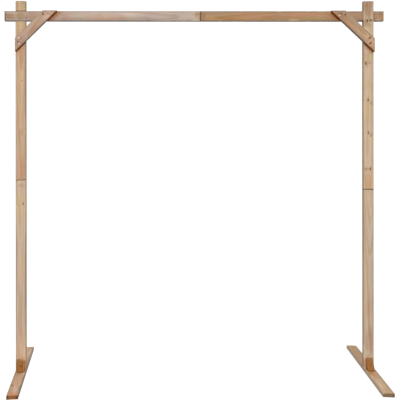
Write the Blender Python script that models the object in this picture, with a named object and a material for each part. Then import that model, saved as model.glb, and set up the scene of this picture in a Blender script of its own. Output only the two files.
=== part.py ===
# Wooden wedding arch: a free-standing square frame of planed boards.
# Two posts carry a beam through halved crossings, corner braces stiffen the top,
# and a flat foot board runs from front to back under each post.
# Metres, +Z up. X runs along the beam, Y from front to back, and the origin lies
# on the ground under the middle of the arch.

import math

import bmesh
import bpy
from mathutils import Matrix, Vector

for old_object in list(bpy.data.objects):
    bpy.data.objects.remove(old_object, do_unlink=True)

# Board stock and fits
BOARD_WIDTH = 0.052
POST_WIDTH = 0.0546
FOOT_WIDTH = 0.0555
BOARD_THICKNESS = 0.019
EDGE_EASE = 0.0014
FIT_GAP = 0.0003
HALF_WIDTH = BOARD_WIDTH / 2
HALF_THICKNESS = BOARD_THICKNESS / 2

# Upright frame
FRAME_Y = -0.016
POST_X = {"left": -0.9238, "right": 0.9289}
POST_TOP = 1.982
POST_JOINT = {"left": 1.030, "right": 0.980}
BEAM_LENGTH = 2.020
BEAM_TOP = 1.928
BEAM_JOINT_X = 0.0305

# Corner braces: where the brace's lower edge meets its two cuts, from the corner that
# the cuts' lines make, along the beam and down the post
BRACE_RUN = {"left": 0.2217, "right": 0.2320}
BRACE_DROP = {"left": 0.2169, "right": 0.2187}
BRACE_TOP_STEP = 0.0010

# Feet
FOOT_LENGTH = 0.598
FOOT_X = {"left": -0.9257, "right": 0.9384}
FOOT_Y = {"left": -0.0045, "right": 0.0045}
FOOT_TURN = {"left": math.radians(5.45), "right": math.radians(-5.62)}
BLOCK_WIDTH = {"left": 0.040, "right": 0.035}
BLOCK_HEIGHT = 0.062
BLOCK_DEPTH = 0.031
BLOCK_NOSE = 0.005
BLOCK_LOW_ROUND = 0.010
BLOCK_TOP_ROUND = 0.005
BLOCK_X = {"left": -0.922, "right": 0.931}

# Steel splice plates behind the butt joints
PLATE_LENGTH = 0.120
PLATE_WIDTH = 0.030
PLATE_THICKNESS = 0.0025
PLATE_CORNER = 0.004
PLATE_SCREW_OFFSETS = (-0.048, -0.018, 0.018, 0.048)

# Screws: head radius, depth of its cone, shank radius, length, depth below the face
BRACE_SCREW = {"head": 0.0040, "cone": 0.0028, "shank": 0.0020, "length": 0.031, "sunk": 0.0007}
PLATE_SCREW = {"head": 0.0035, "cone": 0.0020, "shank": 0.0018, "length": 0.017, "sunk": 0.0}
FOOT_SCREW = {"head": 0.0042, "cone": 0.0030, "shank": 0.0022, "length": 0.040, "sunk": 0.0012}
BLOCK_SCREW = {"head": 0.0040, "cone": 0.0028, "shank": 0.0020, "length": 0.024, "sunk": 0.0040}
SCREW_SIDES = 12
CUTTER_RISE = 0.004
FOOT_SCREW_SPREAD = 0.011
BLOCK_SCREW_Z = {"front": 0.050, "rear": 0.054}
BLOCK_SCREW_SHIFT = {"front": 0.0, "rear": 0.007}
BRACE_SCREWS = {
    "left": ((-0.8022, 1.9059), (-0.7720, 1.9030), (-0.9297, 1.7834), (-0.9281, 1.7517)),
    "right": ((0.7977, 1.9039), (0.7691, 1.9018), (0.9283, 1.7802), (0.9298, 1.7506)),
}

SIDES = ("left", "right")
OUTWARD = {"left": -1, "right": 1}
FACE_DIRECTION = {"front": -1, "rear": 1}
FRAME_FRONT = FRAME_Y - HALF_THICKNESS
FRAME_BACK = FRAME_Y + HALF_THICKNESS


def linear(value):
    """One sRGB channel, 0 to 255, as the linear value a shader needs."""
    part = value / 255
    return part / 12.92 if part <= 0.04045 else ((part + 0.055) / 1.055) ** 2.4


def make_material(name, rgb, roughness, metallic):
    material = bpy.data.materials.new(name)
    material.use_nodes = True
    shader = material.node_tree.nodes["Principled BSDF"]
    shader.inputs["Base Color"].default_value = (*[linear(channel) for channel in rgb], 1)
    shader.inputs["Roughness"].default_value = roughness
    shader.inputs["Metallic"].default_value = metallic
    return material


PALE_WOOD = make_material("pale_pine", (200, 173, 145), 0.62, 0.0)
BEAM_WOOD = make_material("beam_pine", (186, 156, 128), 0.62, 0.0)
FOOT_WOOD = make_material("foot_pine", (185, 155, 125), 0.66, 0.0)
END_GRAIN = make_material("end_grain_pine", (155, 100, 50), 0.75, 0.0)
PLATE_STEEL = make_material("zinc_plate", (170, 172, 174), 0.40, 1.0)
SCREW_STEEL = make_material("screw_steel", (150, 140, 122), 0.38, 1.0)


def add_object(name, mesh, material):
    mesh.materials.append(material)
    new_object = bpy.data.objects.new(name, mesh)
    bpy.context.collection.objects.link(new_object)
    return new_object


def ease_edges(target, width=EDGE_EASE):
    bevel = target.modifiers.new("eased_edges", "BEVEL")
    bevel.width = width
    bevel.segments = 2
    bevel.limit_method = "ANGLE"
    bevel.angle_limit = math.radians(25)


def prism_mesh(name, outline, depth):
    """Extrudes an outline in local XZ, counter-clockwise from the front, along Y."""
    shape = bmesh.new()
    front = [shape.verts.new((x, -depth / 2, z)) for x, z in outline]
    back = [shape.verts.new((x, depth / 2, z)) for x, z in outline]
    shape.faces.new(front)
    shape.faces.new(reversed(back))
    for index, vert in enumerate(front):
        following = (index + 1) % len(front)
        shape.faces.new((front[following], vert, back[index], back[following]))
    bmesh.ops.recalc_face_normals(shape, faces=shape.faces)
    mesh = bpy.data.meshes.new(name)
    shape.to_mesh(mesh)
    shape.free()
    return mesh


def rectangle(width, height):
    return ((-width / 2, -height / 2), (width / 2, -height / 2),
            (width / 2, height / 2), (-width / 2, height / 2))


def rounded_rectangle(width, height, low_round, top_round):
    """A rectangle with one radius at its lower and another at its upper corners."""
    steps = 4
    outline = []
    corners = ((1, -1, low_round, -90), (1, 1, top_round, 0), (-1, 1, top_round, 90), (-1, -1, low_round, 180))
    for across, up, radius, start in corners:
        for step in range(steps + 1):
            angle = math.radians(start + 90 * step / steps)
            outline.append((across * (width / 2 - radius) + radius * math.cos(angle),
                            up * (height / 2 - radius) + radius * math.sin(angle)))
    return outline


def make_upright(name, x, bottom, top, material):
    mesh = prism_mesh(name, rectangle(POST_WIDTH, top - bottom), BOARD_THICKNESS)
    board = add_object(name, mesh, material)
    board.location = (x, FRAME_Y, (bottom + top) / 2)
    ease_edges(board)
    return board


def make_beam_half(name, start, end, material):
    mesh = prism_mesh(name, rectangle(end - start, BOARD_WIDTH), BOARD_THICKNESS)
    board = add_object(name, mesh, material)
    board.location = ((start + end) / 2, FRAME_Y, BEAM_TOP - HALF_WIDTH)
    ease_edges(board)
    return board


def make_brace(side):
    """A board at about 45 degrees across the corner, cut off along the post and the beam."""
    name = side + "_corner_brace"
    out = OUTWARD[side]
    outer_x = POST_X[side] + out * HALF_WIDTH
    top_z = BEAM_TOP - BRACE_TOP_STEP
    run, drop = BRACE_RUN[side], BRACE_DROP[side]
    edge = math.hypot(run, drop)
    outline = [
        (outer_x, top_z - drop),
        (outer_x - out * run, top_z),
        (outer_x - out * (run - BOARD_WIDTH * edge / drop), top_z),
        (outer_x, top_z - drop + BOARD_WIDTH * edge / run),
    ]
    middle_x = outer_x - out * run / 2
    middle_z = top_z - drop / 2
    local = [(x - middle_x, z - middle_z) for x, z in outline]
    if side == "right":
        local.reverse()
    brace = add_object(name, prism_mesh(name, local, BOARD_THICKNESS), PALE_WOOD)
    brace.location = (middle_x, FRAME_FRONT - FIT_GAP - HALF_THICKNESS, middle_z)
    ease_edges(brace)
    return brace


def make_foot(side):
    """A flat board lying from front to back, turned a little so that its front looks inward."""
    name = side + "_foot_board"
    mesh = prism_mesh(name, rectangle(FOOT_WIDTH, BOARD_THICKNESS), FOOT_LENGTH)
    foot = add_object(name, mesh, FOOT_WOOD)
    foot.location = (FOOT_X[side], FOOT_Y[side], HALF_THICKNESS)
    foot.rotation_euler = (0, 0, FOOT_TURN[side])
    ease_edges(foot)
    return foot


def make_block(side, face):
    """A wedge of end grain, rounded at its corners, between the post's face and the foot board."""
    name = "_".join((side, face, "foot_block"))
    outline = rounded_rectangle(BLOCK_WIDTH[side], BLOCK_HEIGHT, BLOCK_LOW_ROUND, BLOCK_TOP_ROUND)
    mesh = prism_mesh(name, outline, BLOCK_DEPTH)
    slope_foot = Vector((0, -BLOCK_DEPTH / 2, -BLOCK_HEIGHT / 2 + BLOCK_NOSE))
    slope_head = Vector((0, BLOCK_DEPTH / 2 - BLOCK_NOSE, BLOCK_HEIGHT / 2))
    slope = slope_head - slope_foot
    shape = bmesh.new()
    shape.from_mesh(mesh)
    geometry = shape.verts[:] + shape.edges[:] + shape.faces[:]
    sawn = bmesh.ops.bisect_plane(shape, geom=geometry, dist=1e-6, plane_co=slope_foot,
                                  plane_no=(0, -slope.z, slope.y), clear_outer=True)
    rim = [item for item in sawn["geom_cut"] if isinstance(item, bmesh.types.BMEdge)]
    bmesh.ops.holes_fill(shape, edges=rim)
    bmesh.ops.recalc_face_normals(shape, faces=shape.faces)
    shape.to_mesh(mesh)
    shape.free()
    block = add_object(name, mesh, END_GRAIN)
    frame_face = FRAME_FRONT if face == "front" else FRAME_BACK
    middle_y = frame_face + FACE_DIRECTION[face] * (FIT_GAP + BLOCK_DEPTH / 2)
    block.location = (BLOCK_X[side], middle_y, BOARD_THICKNESS + FIT_GAP + BLOCK_HEIGHT / 2)
    block.rotation_euler = (0, 0, math.pi if face == "rear" else 0)
    ease_edges(block, 0.0010)
    return block


def make_plate(name, x, z, turn):
    """A flat steel plate with rounded corners on the back of a butt joint."""
    mesh = prism_mesh(name, rectangle(PLATE_WIDTH, PLATE_LENGTH), PLATE_THICKNESS)
    plate = add_object(name, mesh, PLATE_STEEL)
    shape = bmesh.new()
    shape.from_mesh(mesh)
    corners = [edge for edge in shape.edges if abs(edge.verts[0].co.y - edge.verts[1].co.y) > FIT_GAP]
    bmesh.ops.bevel(shape, geom=corners, offset=PLATE_CORNER, segments=3, affect="EDGES", profile=0.5)
    shape.to_mesh(mesh)
    shape.free()
    plate.location = (x, FRAME_BACK + FIT_GAP + PLATE_THICKNESS / 2, z)
    plate.rotation_euler = (0, turn, 0)
    return plate


def turned_mesh(name, profile, placements):
    """Closed turned solids along local +Z, one for each placement matrix, in one mesh."""
    shape = bmesh.new()
    for placement in placements:
        rings = []
        for radius, depth in profile:
            ring = []
            for step in range(SCREW_SIDES):
                angle = 2 * math.pi * step / SCREW_SIDES
                point = Vector((radius * math.cos(angle), radius * math.sin(angle), depth))
                ring.append(shape.verts.new(placement @ point))
            rings.append(ring)
        shape.faces.new(reversed(rings[0]))
        shape.faces.new(rings[-1])
        for upper, lower in zip(rings, rings[1:]):
            for step in range(SCREW_SIDES):
                following = (step + 1) % SCREW_SIDES
                shape.faces.new((upper[step], upper[following], lower[following], lower[step]))
    bmesh.ops.recalc_face_normals(shape, faces=shape.faces)
    mesh = bpy.data.meshes.new(name)
    shape.to_mesh(mesh)
    shape.free()
    return mesh


def screw_profile(kind):
    neck = kind["sunk"] + kind["cone"]
    return ((kind["head"], kind["sunk"]), (kind["shank"], neck), (kind["shank"], kind["length"] - kind["shank"]),
            (kind["shank"] / 4, kind["length"]))


def hole_profile(kind):
    neck = kind["sunk"] + kind["cone"]
    wide = kind["head"] + FIT_GAP
    narrow = kind["shank"] + FIT_GAP
    return ((wide, -CUTTER_RISE), (wide, kind["sunk"] + FIT_GAP), (narrow, neck + FIT_GAP),
            (narrow, kind["length"] + FIT_GAP))


def drive_screws(name, kind, seats, direction, boards):
    """Makes the screws of one group, one object each, and drills the boards that they pass through."""
    turn = Vector((0, 0, 1)).rotation_difference(Vector(direction)).to_matrix().to_4x4()
    placements = [Matrix.Translation(seat) @ turn for seat in seats]
    for number, placement in enumerate(placements, start=1):
        screw_name = name if len(placements) == 1 else "_".join((name, str(number)))
        add_object(screw_name, turned_mesh(screw_name, screw_profile(kind), [placement]), SCREW_STEEL)
    drill_mesh = turned_mesh(name + "_drill", hole_profile(kind), placements)
    drill = add_object(name + "_drill", drill_mesh, SCREW_STEEL)
    hide_cutter(drill)
    for board in boards:
        cut(board, drill)


def hide_cutter(cutter):
    cutter.hide_render = True
    cutter.display_type = "WIRE"


def cut(target, cutter):
    boolean = target.modifiers.new(cutter.name, "BOOLEAN")
    boolean.operation = "DIFFERENCE"
    boolean.solver = "EXACT"
    boolean.object = cutter


def make_halving(side, post, beam, front_piece):
    """Cuts half of the thickness from the post and the beam where they cross."""
    for board, is_front in ((post, front_piece == "post"), (beam, front_piece == "beam")):
        removed = 1 if is_front else -1
        depth = BOARD_THICKNESS
        if board == beam:
            outline = rectangle(POST_WIDTH + 2 * FIT_GAP, 2 * BOARD_WIDTH)
        else:
            outline = rectangle(2 * POST_WIDTH, BOARD_WIDTH + 2 * FIT_GAP)
        name = "_".join((board.name, "halving"))
        cutter = add_object(name, prism_mesh(name, outline, depth), board.active_material)
        middle_y = FRAME_Y + removed * (depth / 2 - FIT_GAP / 2)
        cutter.location = (POST_X[side], middle_y, BEAM_TOP - HALF_WIDTH)
        hide_cutter(cutter)
        cut(board, cutter)


def foot_screw_seats(side):
    """Two screws under the foot, where the post and the foot board both have wood."""
    foot_x_at_frame = FOOT_X[side] - math.tan(FOOT_TURN[side]) * (FRAME_Y - FOOT_Y[side])
    middle = (POST_X[side] + foot_x_at_frame) / 2
    return [(middle + shift, FRAME_Y, 0) for shift in (-FOOT_SCREW_SPREAD, FOOT_SCREW_SPREAD)]


def block_screw_seat(side, face):
    """A point on the wedge's sloping face, in line with the middle of the post."""
    height = BLOCK_SCREW_Z[face]
    rise = height - BOARD_THICKNESS - FIT_GAP - BLOCK_NOSE
    slope = (BLOCK_DEPTH - BLOCK_NOSE) / (BLOCK_HEIGHT - BLOCK_NOSE)
    depth = BLOCK_DEPTH - slope * rise
    frame_face = FRAME_FRONT if face == "front" else FRAME_BACK
    out = FACE_DIRECTION[face]
    return (BLOCK_X[side] + BLOCK_SCREW_SHIFT[face], frame_face + out * (FIT_GAP + depth), height)


def make_beam():
    half = BEAM_LENGTH / 2
    gap = FIT_GAP / 2
    return {
        "left": make_beam_half("beam_left", -half, BEAM_JOINT_X - gap, BEAM_WOOD),
        "right": make_beam_half("beam_right", BEAM_JOINT_X + gap, half, BEAM_WOOD),
    }


def make_side(side, beam):
    """The post, foot, blocks, brace and fastenings of one side."""
    joint = POST_JOINT[side]
    lower = make_upright(side + "_post_lower", POST_X[side], BOARD_THICKNESS + FIT_GAP, joint, PALE_WOOD)
    upper = make_upright(side + "_post_upper", POST_X[side], joint + FIT_GAP, POST_TOP, PALE_WOOD)
    make_halving(side, upper, beam, "beam" if side == "left" else "post")
    foot = make_foot(side)
    brace = make_brace(side)

    front = brace.location.y - HALF_THICKNESS
    seats = [(x, front, z) for x, z in BRACE_SCREWS[side]]
    drive_screws(side + "_brace_screw", BRACE_SCREW, seats, (0, 1, 0), (brace, upper, beam))
    drive_screws(side + "_foot_screw", FOOT_SCREW, foot_screw_seats(side), (0, 0, 1), (foot, lower))
    for face in FACE_DIRECTION:
        block = make_block(side, face)
        name = "_".join((side, face, "block_screw"))
        inward = (0, -FACE_DIRECTION[face], 0)
        drive_screws(name, BLOCK_SCREW, [block_screw_seat(side, face)], inward, (block, lower))

    plate = make_plate(side + "_post_splice_plate", POST_X[side], joint, 0)
    plate_face = FRAME_BACK + FIT_GAP + PLATE_THICKNESS
    seats = [(POST_X[side], plate_face, joint + shift) for shift in PLATE_SCREW_OFFSETS]
    drive_screws(side + "_post_splice_screw", PLATE_SCREW, seats, (0, -1, 0), (plate, lower, upper))


def make_beam_splice(beam):
    middle_z = BEAM_TOP - HALF_WIDTH
    plate = make_plate("beam_splice_plate", BEAM_JOINT_X, middle_z, math.pi / 2)
    plate_face = FRAME_BACK + FIT_GAP + PLATE_THICKNESS
    seats = [(BEAM_JOINT_X + shift, plate_face, middle_z) for shift in PLATE_SCREW_OFFSETS]
    boards = (plate, beam["left"], beam["right"])
    drive_screws("beam_splice_screw", PLATE_SCREW, seats, (0, -1, 0), boards)


beam_halves = make_beam()
for arch_side in SIDES:
    make_side(arch_side, beam_halves[arch_side])
make_beam_splice(beam_halves)
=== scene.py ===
import math

import bmesh
import bpy
from mathutils import Matrix, Vector


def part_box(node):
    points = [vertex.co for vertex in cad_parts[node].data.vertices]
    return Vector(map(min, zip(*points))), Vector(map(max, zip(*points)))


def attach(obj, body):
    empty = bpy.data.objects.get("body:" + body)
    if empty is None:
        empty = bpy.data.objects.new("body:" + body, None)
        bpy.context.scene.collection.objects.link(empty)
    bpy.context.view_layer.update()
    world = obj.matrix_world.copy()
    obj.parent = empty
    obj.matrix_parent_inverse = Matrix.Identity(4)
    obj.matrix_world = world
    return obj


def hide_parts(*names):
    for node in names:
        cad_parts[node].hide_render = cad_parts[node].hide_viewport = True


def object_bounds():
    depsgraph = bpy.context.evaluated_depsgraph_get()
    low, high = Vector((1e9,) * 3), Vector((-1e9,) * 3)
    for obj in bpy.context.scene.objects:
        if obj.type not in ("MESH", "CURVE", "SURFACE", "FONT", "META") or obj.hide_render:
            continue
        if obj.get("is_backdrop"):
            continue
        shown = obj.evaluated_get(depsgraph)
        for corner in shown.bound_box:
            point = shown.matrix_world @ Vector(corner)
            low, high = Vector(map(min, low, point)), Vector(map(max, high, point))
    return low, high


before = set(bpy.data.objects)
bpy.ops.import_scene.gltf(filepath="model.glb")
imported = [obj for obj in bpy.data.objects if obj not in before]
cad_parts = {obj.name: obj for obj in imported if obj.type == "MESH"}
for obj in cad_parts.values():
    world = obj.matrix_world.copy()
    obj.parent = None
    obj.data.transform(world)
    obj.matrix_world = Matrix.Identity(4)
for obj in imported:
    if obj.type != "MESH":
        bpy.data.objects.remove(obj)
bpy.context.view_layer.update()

print("frame loaded:", len(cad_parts), "nodes")

sides = ("left", "right")
outward = {"left": -1.0, "right": 1.0}
fitGap = 0.0003  # between faces that touch, as in the CAD
roundSides = 24  # of each screw and each hole


def srgb(red, green, blue):
    # 0 to 255 as in a colour picker, to the linear values that sockets take
    linear = []
    for value in (red, green, blue):
        share = value / 255
        linear.append(share / 12.92 if share <= 0.04045 else ((share + 0.055) / 1.055) ** 2.4)
    return (*linear, 1.0)


# Small helpers for building node trees, shader and geometry alike

def plug(tree, value, socket):
    if isinstance(value, bpy.types.NodeSocket):
        tree.links.new(value, socket)
    elif value is not None:
        socket.default_value = value


def addNode(tree, kind, values=None, **settings):
    made = tree.nodes.new(kind)
    for key, setting in settings.items():
        setattr(made, key, setting)
    for key, value in (values or {}).items():
        plug(tree, value, made.inputs[key])
    return made


def form(tree, kind, values=None, **settings):
    # a geometry node's first output
    return addNode(tree, "GeometryNode" + kind, values, **settings).outputs[0]


def calc(tree, operation, *values):
    made = addNode(tree, "ShaderNodeMath", operation=operation)
    for value, socket in zip(values, made.inputs):
        plug(tree, value, socket)
    return made.outputs[0]


def calcVector(tree, operation, *values):
    made = addNode(tree, "ShaderNodeVectorMath", operation=operation)
    for value, socket in zip(values, made.inputs):
        plug(tree, value, socket)
    return made.outputs["Value" if operation in ("LENGTH", "DOT_PRODUCT") else "Vector"]


def softStep(tree, value, start, end, low=0.0, high=1.0):
    values = {"Value": value, "From Min": start, "From Max": end, "To Min": low, "To Max": high}
    return addNode(tree, "ShaderNodeMapRange", values, interpolation_type="SMOOTHSTEP").outputs["Result"]


def splitVector(tree, vector):
    return addNode(tree, "ShaderNodeSeparateXYZ", {"Vector": vector}).outputs


def joinVector(tree, x, y, z):
    return addNode(tree, "ShaderNodeCombineXYZ", {"X": x, "Y": y, "Z": z}).outputs[0]


def mixColour(tree, factor, first, second, mode="MIX"):
    made = addNode(tree, "ShaderNodeMix", data_type="RGBA", blend_type=mode)
    for value, index in ((factor, 0), (first, 6), (second, 7)):
        plug(tree, value, made.inputs[index])
    return made.outputs[2]


def layOver(tree, under, over, mask, strength):
    # one colour over another, where the mask is 1
    return mixColour(tree, calc(tree, "MULTIPLY", mask, strength), under, over)


def streakNoise(tree, vector, stretch, seed, detail=2.0):
    # noise drawn out along the board: stretch is in waves per metre across, through and along
    scaled = calcVector(tree, "MULTIPLY", vector, stretch)
    values = {"Vector": scaled, "W": seed, "Scale": 1.0, "Detail": detail}
    return addNode(tree, "ShaderNodeTexNoise", values, noise_dimensions="4D").outputs


def roughen(tree, value, noise, amount):
    # moves a value up and down with a noise of 0 to 1
    return calc(tree, "ADD", value, calc(tree, "MULTIPLY", calc(tree, "SUBTRACT", noise, 0.5), amount))


def swing(tree, noise, amount):
    # the three channels of a noise, made to swing about zero
    return calcVector(tree, "MULTIPLY", calcVector(tree, "SUBTRACT", noise, (0.5, 0.5, 0.5)), amount)


def laterSeed(tree, seed, step):
    return calc(tree, "ADD", seed, step)


def startGroup(kind, name, inputs, outputs):
    # an input is given by its usual number, or by its kind where it has none
    tree = bpy.data.node_groups.new(name, kind)
    numberKinds = {bool: "Bool", int: "Int", float: "Float"}
    for label, value in inputs.items():
        socketKind = numberKinds.get(type(value), value)
        socket = tree.interface.new_socket(label, in_out="INPUT", socket_type=f"NodeSocket{socketKind}")
        if socketKind != value:
            socket.default_value = value
    for label, socketKind in outputs.items():
        tree.interface.new_socket(label, in_out="OUTPUT", socket_type="NodeSocket" + socketKind)
    given = addNode(tree, "NodeGroupInput").outputs
    result = addNode(tree, "NodeGroupOutput").inputs
    return tree, given, result


def useGroup(tree, group, values):
    made = addNode(tree, "ShaderNodeGroup", node_tree=group)
    for key, value in values.items():
        plug(tree, value, made.inputs[key])
    return made.outputs


def startMaterial(name):
    material = bpy.data.materials.new(name)
    material.use_nodes = True
    material.node_tree.nodes.clear()
    return material, material.node_tree


def finishMaterial(tree, values, strength, depth, height):
    # the shader, with a bump from the height
    bump = addNode(tree, "ShaderNodeBump", {"Strength": strength, "Distance": depth, "Height": height})
    values = {**values, "Normal": bump.outputs["Normal"]}
    shader = addNode(tree, "ShaderNodeBsdfPrincipled", values).outputs["BSDF"]
    addNode(tree, "ShaderNodeOutputMaterial", {"Surface": shader})


# Shared wood effects

def buildKnot():
    # bends the grain round a knot that runs through the board's thickness
    tree, given, result = startGroup("ShaderNodeTree", "knotInGrain", {
        "Vector": "Vector", "Centre": "Vector", "Radius": 0.004, "Seed": 0.0,
    }, {"Vector": "Vector", "Core": "Float", "Rim": "Float", "Halo": "Float"})
    vector, seed = given["Vector"], given["Seed"]
    offset = calcVector(tree, "SUBTRACT", vector, given["Centre"])
    flat = calcVector(tree, "MULTIPLY", offset, (1.2, 0.0, 0.62))
    reach = calc(tree, "DIVIDE", calcVector(tree, "LENGTH", flat), given["Radius"])
    ragged = streakNoise(tree, offset, (260.0, 260.0, 150.0), seed)[0]
    reach = roughen(tree, reach, ragged, 0.9)
    spread = calc(tree, "DIVIDE", reach, 2.3)
    pull = calc(tree, "POWER", math.e, calc(tree, "MULTIPLY", calc(tree, "MULTIPLY", spread, spread), -1.0))
    across = joinVector(tree, calc(tree, "MULTIPLY", pull, 0.88), 0.0, 0.0)
    shift = calcVector(tree, "MULTIPLY", offset, across)
    plug(tree, calcVector(tree, "SUBTRACT", vector, shift), result["Vector"])
    rings = calc(tree, "MULTIPLY_ADD", calc(tree, "SINE", calc(tree, "MULTIPLY", reach, 21.0)), 0.22, 0.22)
    plug(tree, softStep(tree, reach, 1.12, 0.88), result["Core"])
    plug(tree, calc(tree, "MAXIMUM", rings, softStep(tree, reach, 0.60, 0.95)), result["Rim"])
    plug(tree, softStep(tree, reach, 3.0, 0.9), result["Halo"])
    return tree


def buildToneStreaks():
    # broad soft streaks of three tones along the board
    tree, given, result = startGroup("ShaderNodeTree", "toneStreaks", {
        "Vector": "Vector", "Pale": "Color", "Warm": "Color", "Cool": "Color", "Warm Share": 0.5,
        "Cool Share": 0.5, "Seed": 0.0,
    }, {"Color": "Color"})
    vector, seed = given["Vector"], given["Seed"]
    warm = streakNoise(tree, vector, (75.0, 75.0, 3.0), seed, 3.0)[0]
    warm = softStep(tree, warm, 0.40, 0.60)
    cool = streakNoise(tree, vector, (95.0, 95.0, 2.2), laterSeed(tree, seed, 7.3), 3.0)[0]
    cool = softStep(tree, cool, 0.42, 0.62)
    colour = layOver(tree, given["Pale"], given["Warm"], warm, given["Warm Share"])
    colour = layOver(tree, colour, given["Cool"], cool, given["Cool Share"])
    blotch = streakNoise(tree, vector, (48.0, 48.0, 13.0), laterSeed(tree, seed, 12.1))[1]
    blotch = calcVector(tree, "ADD", swing(tree, blotch, (0.22, 0.28, 0.42)), (1.0, 1.0, 1.0))
    plug(tree, mixColour(tree, 1.0, colour, blotch, "MULTIPLY"), result["Color"])
    return tree


def buildStainPatch():
    # one soft-edged patch of another tone
    tree, given, result = startGroup("ShaderNodeTree", "stainPatch", {
        "Color": "Color", "Vector": "Vector", "Centre": "Vector", "Reach": "Vector", "Stain": "Color",
        "Strength": 0.5, "Seed": 0.0,
    }, {"Color": "Color"})
    vector, seed = given["Vector"], given["Seed"]
    offset = calcVector(tree, "SUBTRACT", vector, given["Centre"])
    near = calcVector(tree, "LENGTH", calcVector(tree, "DIVIDE", offset, given["Reach"]))
    ragged = streakNoise(tree, vector, (150.0, 150.0, 14.0), seed, 3.0)[0]
    near = roughen(tree, near, ragged, 1.1)
    mask = softStep(tree, near, 1.25, 0.45)
    plug(tree, layOver(tree, given["Color"], given["Stain"], mask, given["Strength"]), result["Color"])
    return tree


def buildPineFigure():
    # growth rings round a pith line outside the board, and fibres along it
    tree, given, result = startGroup("ShaderNodeTree", "pineFigure", {
        "Color": "Color", "Vector": "Vector", "Pith": "Vector", "Ring Width": 0.004, "Tilt": 0.01,
        "Ring Contrast": 0.5, "Fibre Contrast": 0.1, "Seed": 0.0,
    }, {"Color": "Color", "Height": "Float", "Latewood": "Float"})
    vector, seed = given["Vector"], given["Seed"]
    wave = streakNoise(tree, vector, (11.0, 11.0, 2.6), seed)[1]
    wave = swing(tree, wave, (0.012, 0.012, 0.0))
    fromPith = calcVector(tree, "SUBTRACT", calcVector(tree, "ADD", vector, wave), given["Pith"])
    parts = splitVector(tree, fromPith)
    leaning = calc(tree, "ADD", parts["X"], calc(tree, "MULTIPLY", parts["Z"], given["Tilt"]))
    rising = calc(tree, "ADD", parts["Y"], calc(tree, "MULTIPLY", parts["Z"], given["Tilt"]))
    radius = calcVector(tree, "LENGTH", joinVector(tree, leaning, rising, 0.0))
    phase = calc(tree, "DIVIDE", radius, given["Ring Width"])
    ring = calc(tree, "FRACT", phase)
    ringNumber = calc(tree, "ADD", calc(tree, "FLOOR", phase), seed)
    values = {"W": ringNumber}
    ringShade = addNode(tree, "ShaderNodeTexWhiteNoise", values, noise_dimensions="1D").outputs["Value"]
    late = calc(tree, "MULTIPLY", softStep(tree, ring, 0.25, 0.86), softStep(tree, ring, 1.0, 0.90))
    late = calc(tree, "MULTIPLY", late, calc(tree, "MULTIPLY_ADD", ringShade, 0.6, 0.4))
    fibre = streakNoise(tree, vector, (900.0, 900.0, 9.0), laterSeed(tree, seed, 3.1))[0]
    fleck = streakNoise(tree, vector, (300.0, 300.0, 6.0), laterSeed(tree, seed, 5.7))[0]
    shade = calc(tree, "ADD", calc(tree, "SUBTRACT", fibre, 0.5), calc(tree, "SUBTRACT", fleck, 0.5))
    shade = calc(tree, "MULTIPLY_ADD", shade, calc(tree, "MULTIPLY", given["Fibre Contrast"], 2.0), 1.0)
    lateMask = calc(tree, "MULTIPLY", late, given["Ring Contrast"])
    colour = mixColour(tree, lateMask, given["Color"], (0.74, 0.62, 0.46, 1.0), "MULTIPLY")
    plug(tree, mixColour(tree, 1.0, colour, shade, "MULTIPLY"), result["Color"])
    height = calc(tree, "ADD", calc(tree, "MULTIPLY", late, 0.55), calc(tree, "MULTIPLY", fibre, 0.45))
    plug(tree, height, result["Height"])
    plug(tree, late, result["Latewood"])
    return tree


def buildEdgeSoilAndShade():
    # handling grime that gathers along the arrises, with painted shade of their rounding, and bare spots
    # where they are rubbed
    tree, given, result = startGroup("ShaderNodeTree", "edgeSoilAndShade", {
        "Color": "Color", "Vector": "Vector", "Half Size": "Vector", "Soil": "Color", "Strength": 0.4,
        "Reach": 0.0062, "Seed": 0.0,
    }, {"Color": "Color"})
    vector, seed = given["Vector"], given["Seed"]
    inside = calcVector(tree, "SUBTRACT", given["Half Size"], calcVector(tree, "ABSOLUTE", vector))
    parts = splitVector(tree, inside)
    depth = calc(tree, "ADD", parts["X"], parts["Y"])
    ragged = streakNoise(tree, vector, (90.0, 90.0, 18.0), seed, 3.0)[0]
    depth = roughen(tree, depth, ragged, 0.004)
    soft = softStep(tree, depth, given["Reach"], 0.0002)
    arris = softStep(tree, depth, 0.0022, 0.0006)
    colour = layOver(tree, given["Color"], given["Soil"], soft, given["Strength"])
    rubbed = streakNoise(tree, vector, (120.0, 120.0, 30.0), laterSeed(tree, seed, 2.2))[0]
    rubbed = calc(tree, "MULTIPLY", softStep(tree, rubbed, 0.58, 0.70), arris)
    plug(tree, layOver(tree, colour, srgb(222, 196, 164), rubbed, 0.45), result["Color"])
    return tree


def buildEndBand():
    # stain that has soaked in beside a sawn end
    tree, given, result = startGroup("ShaderNodeTree", "endBand", {
        "Color": "Color", "Vector": "Vector", "Distance": 0.0, "Width": 0.003, "Wobble": 0.001,
        "Stain": "Color", "Strength": 0.8, "Seed": 0.0,
    }, {"Color": "Color"})
    vector, seed = given["Vector"], given["Seed"]
    wave = streakNoise(tree, vector, (50.0, 50.0, 20.0), seed)[0]
    finger = streakNoise(tree, vector, (260.0, 260.0, 10.0), seed, 3.0)[0]
    wave = calc(tree, "SUBTRACT", wave, 0.5)
    ragged = calc(tree, "MULTIPLY_ADD", calc(tree, "SUBTRACT", finger, 0.5), 0.5, wave)
    ragged = calc(tree, "MULTIPLY", ragged, given["Wobble"])
    near = calc(tree, "DIVIDE", calc(tree, "ADD", given["Distance"], ragged), given["Width"])
    mask = softStep(tree, near, 1.15, 0.45)
    plug(tree, layOver(tree, given["Color"], given["Stain"], mask, given["Strength"]), result["Color"])
    return tree


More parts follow.
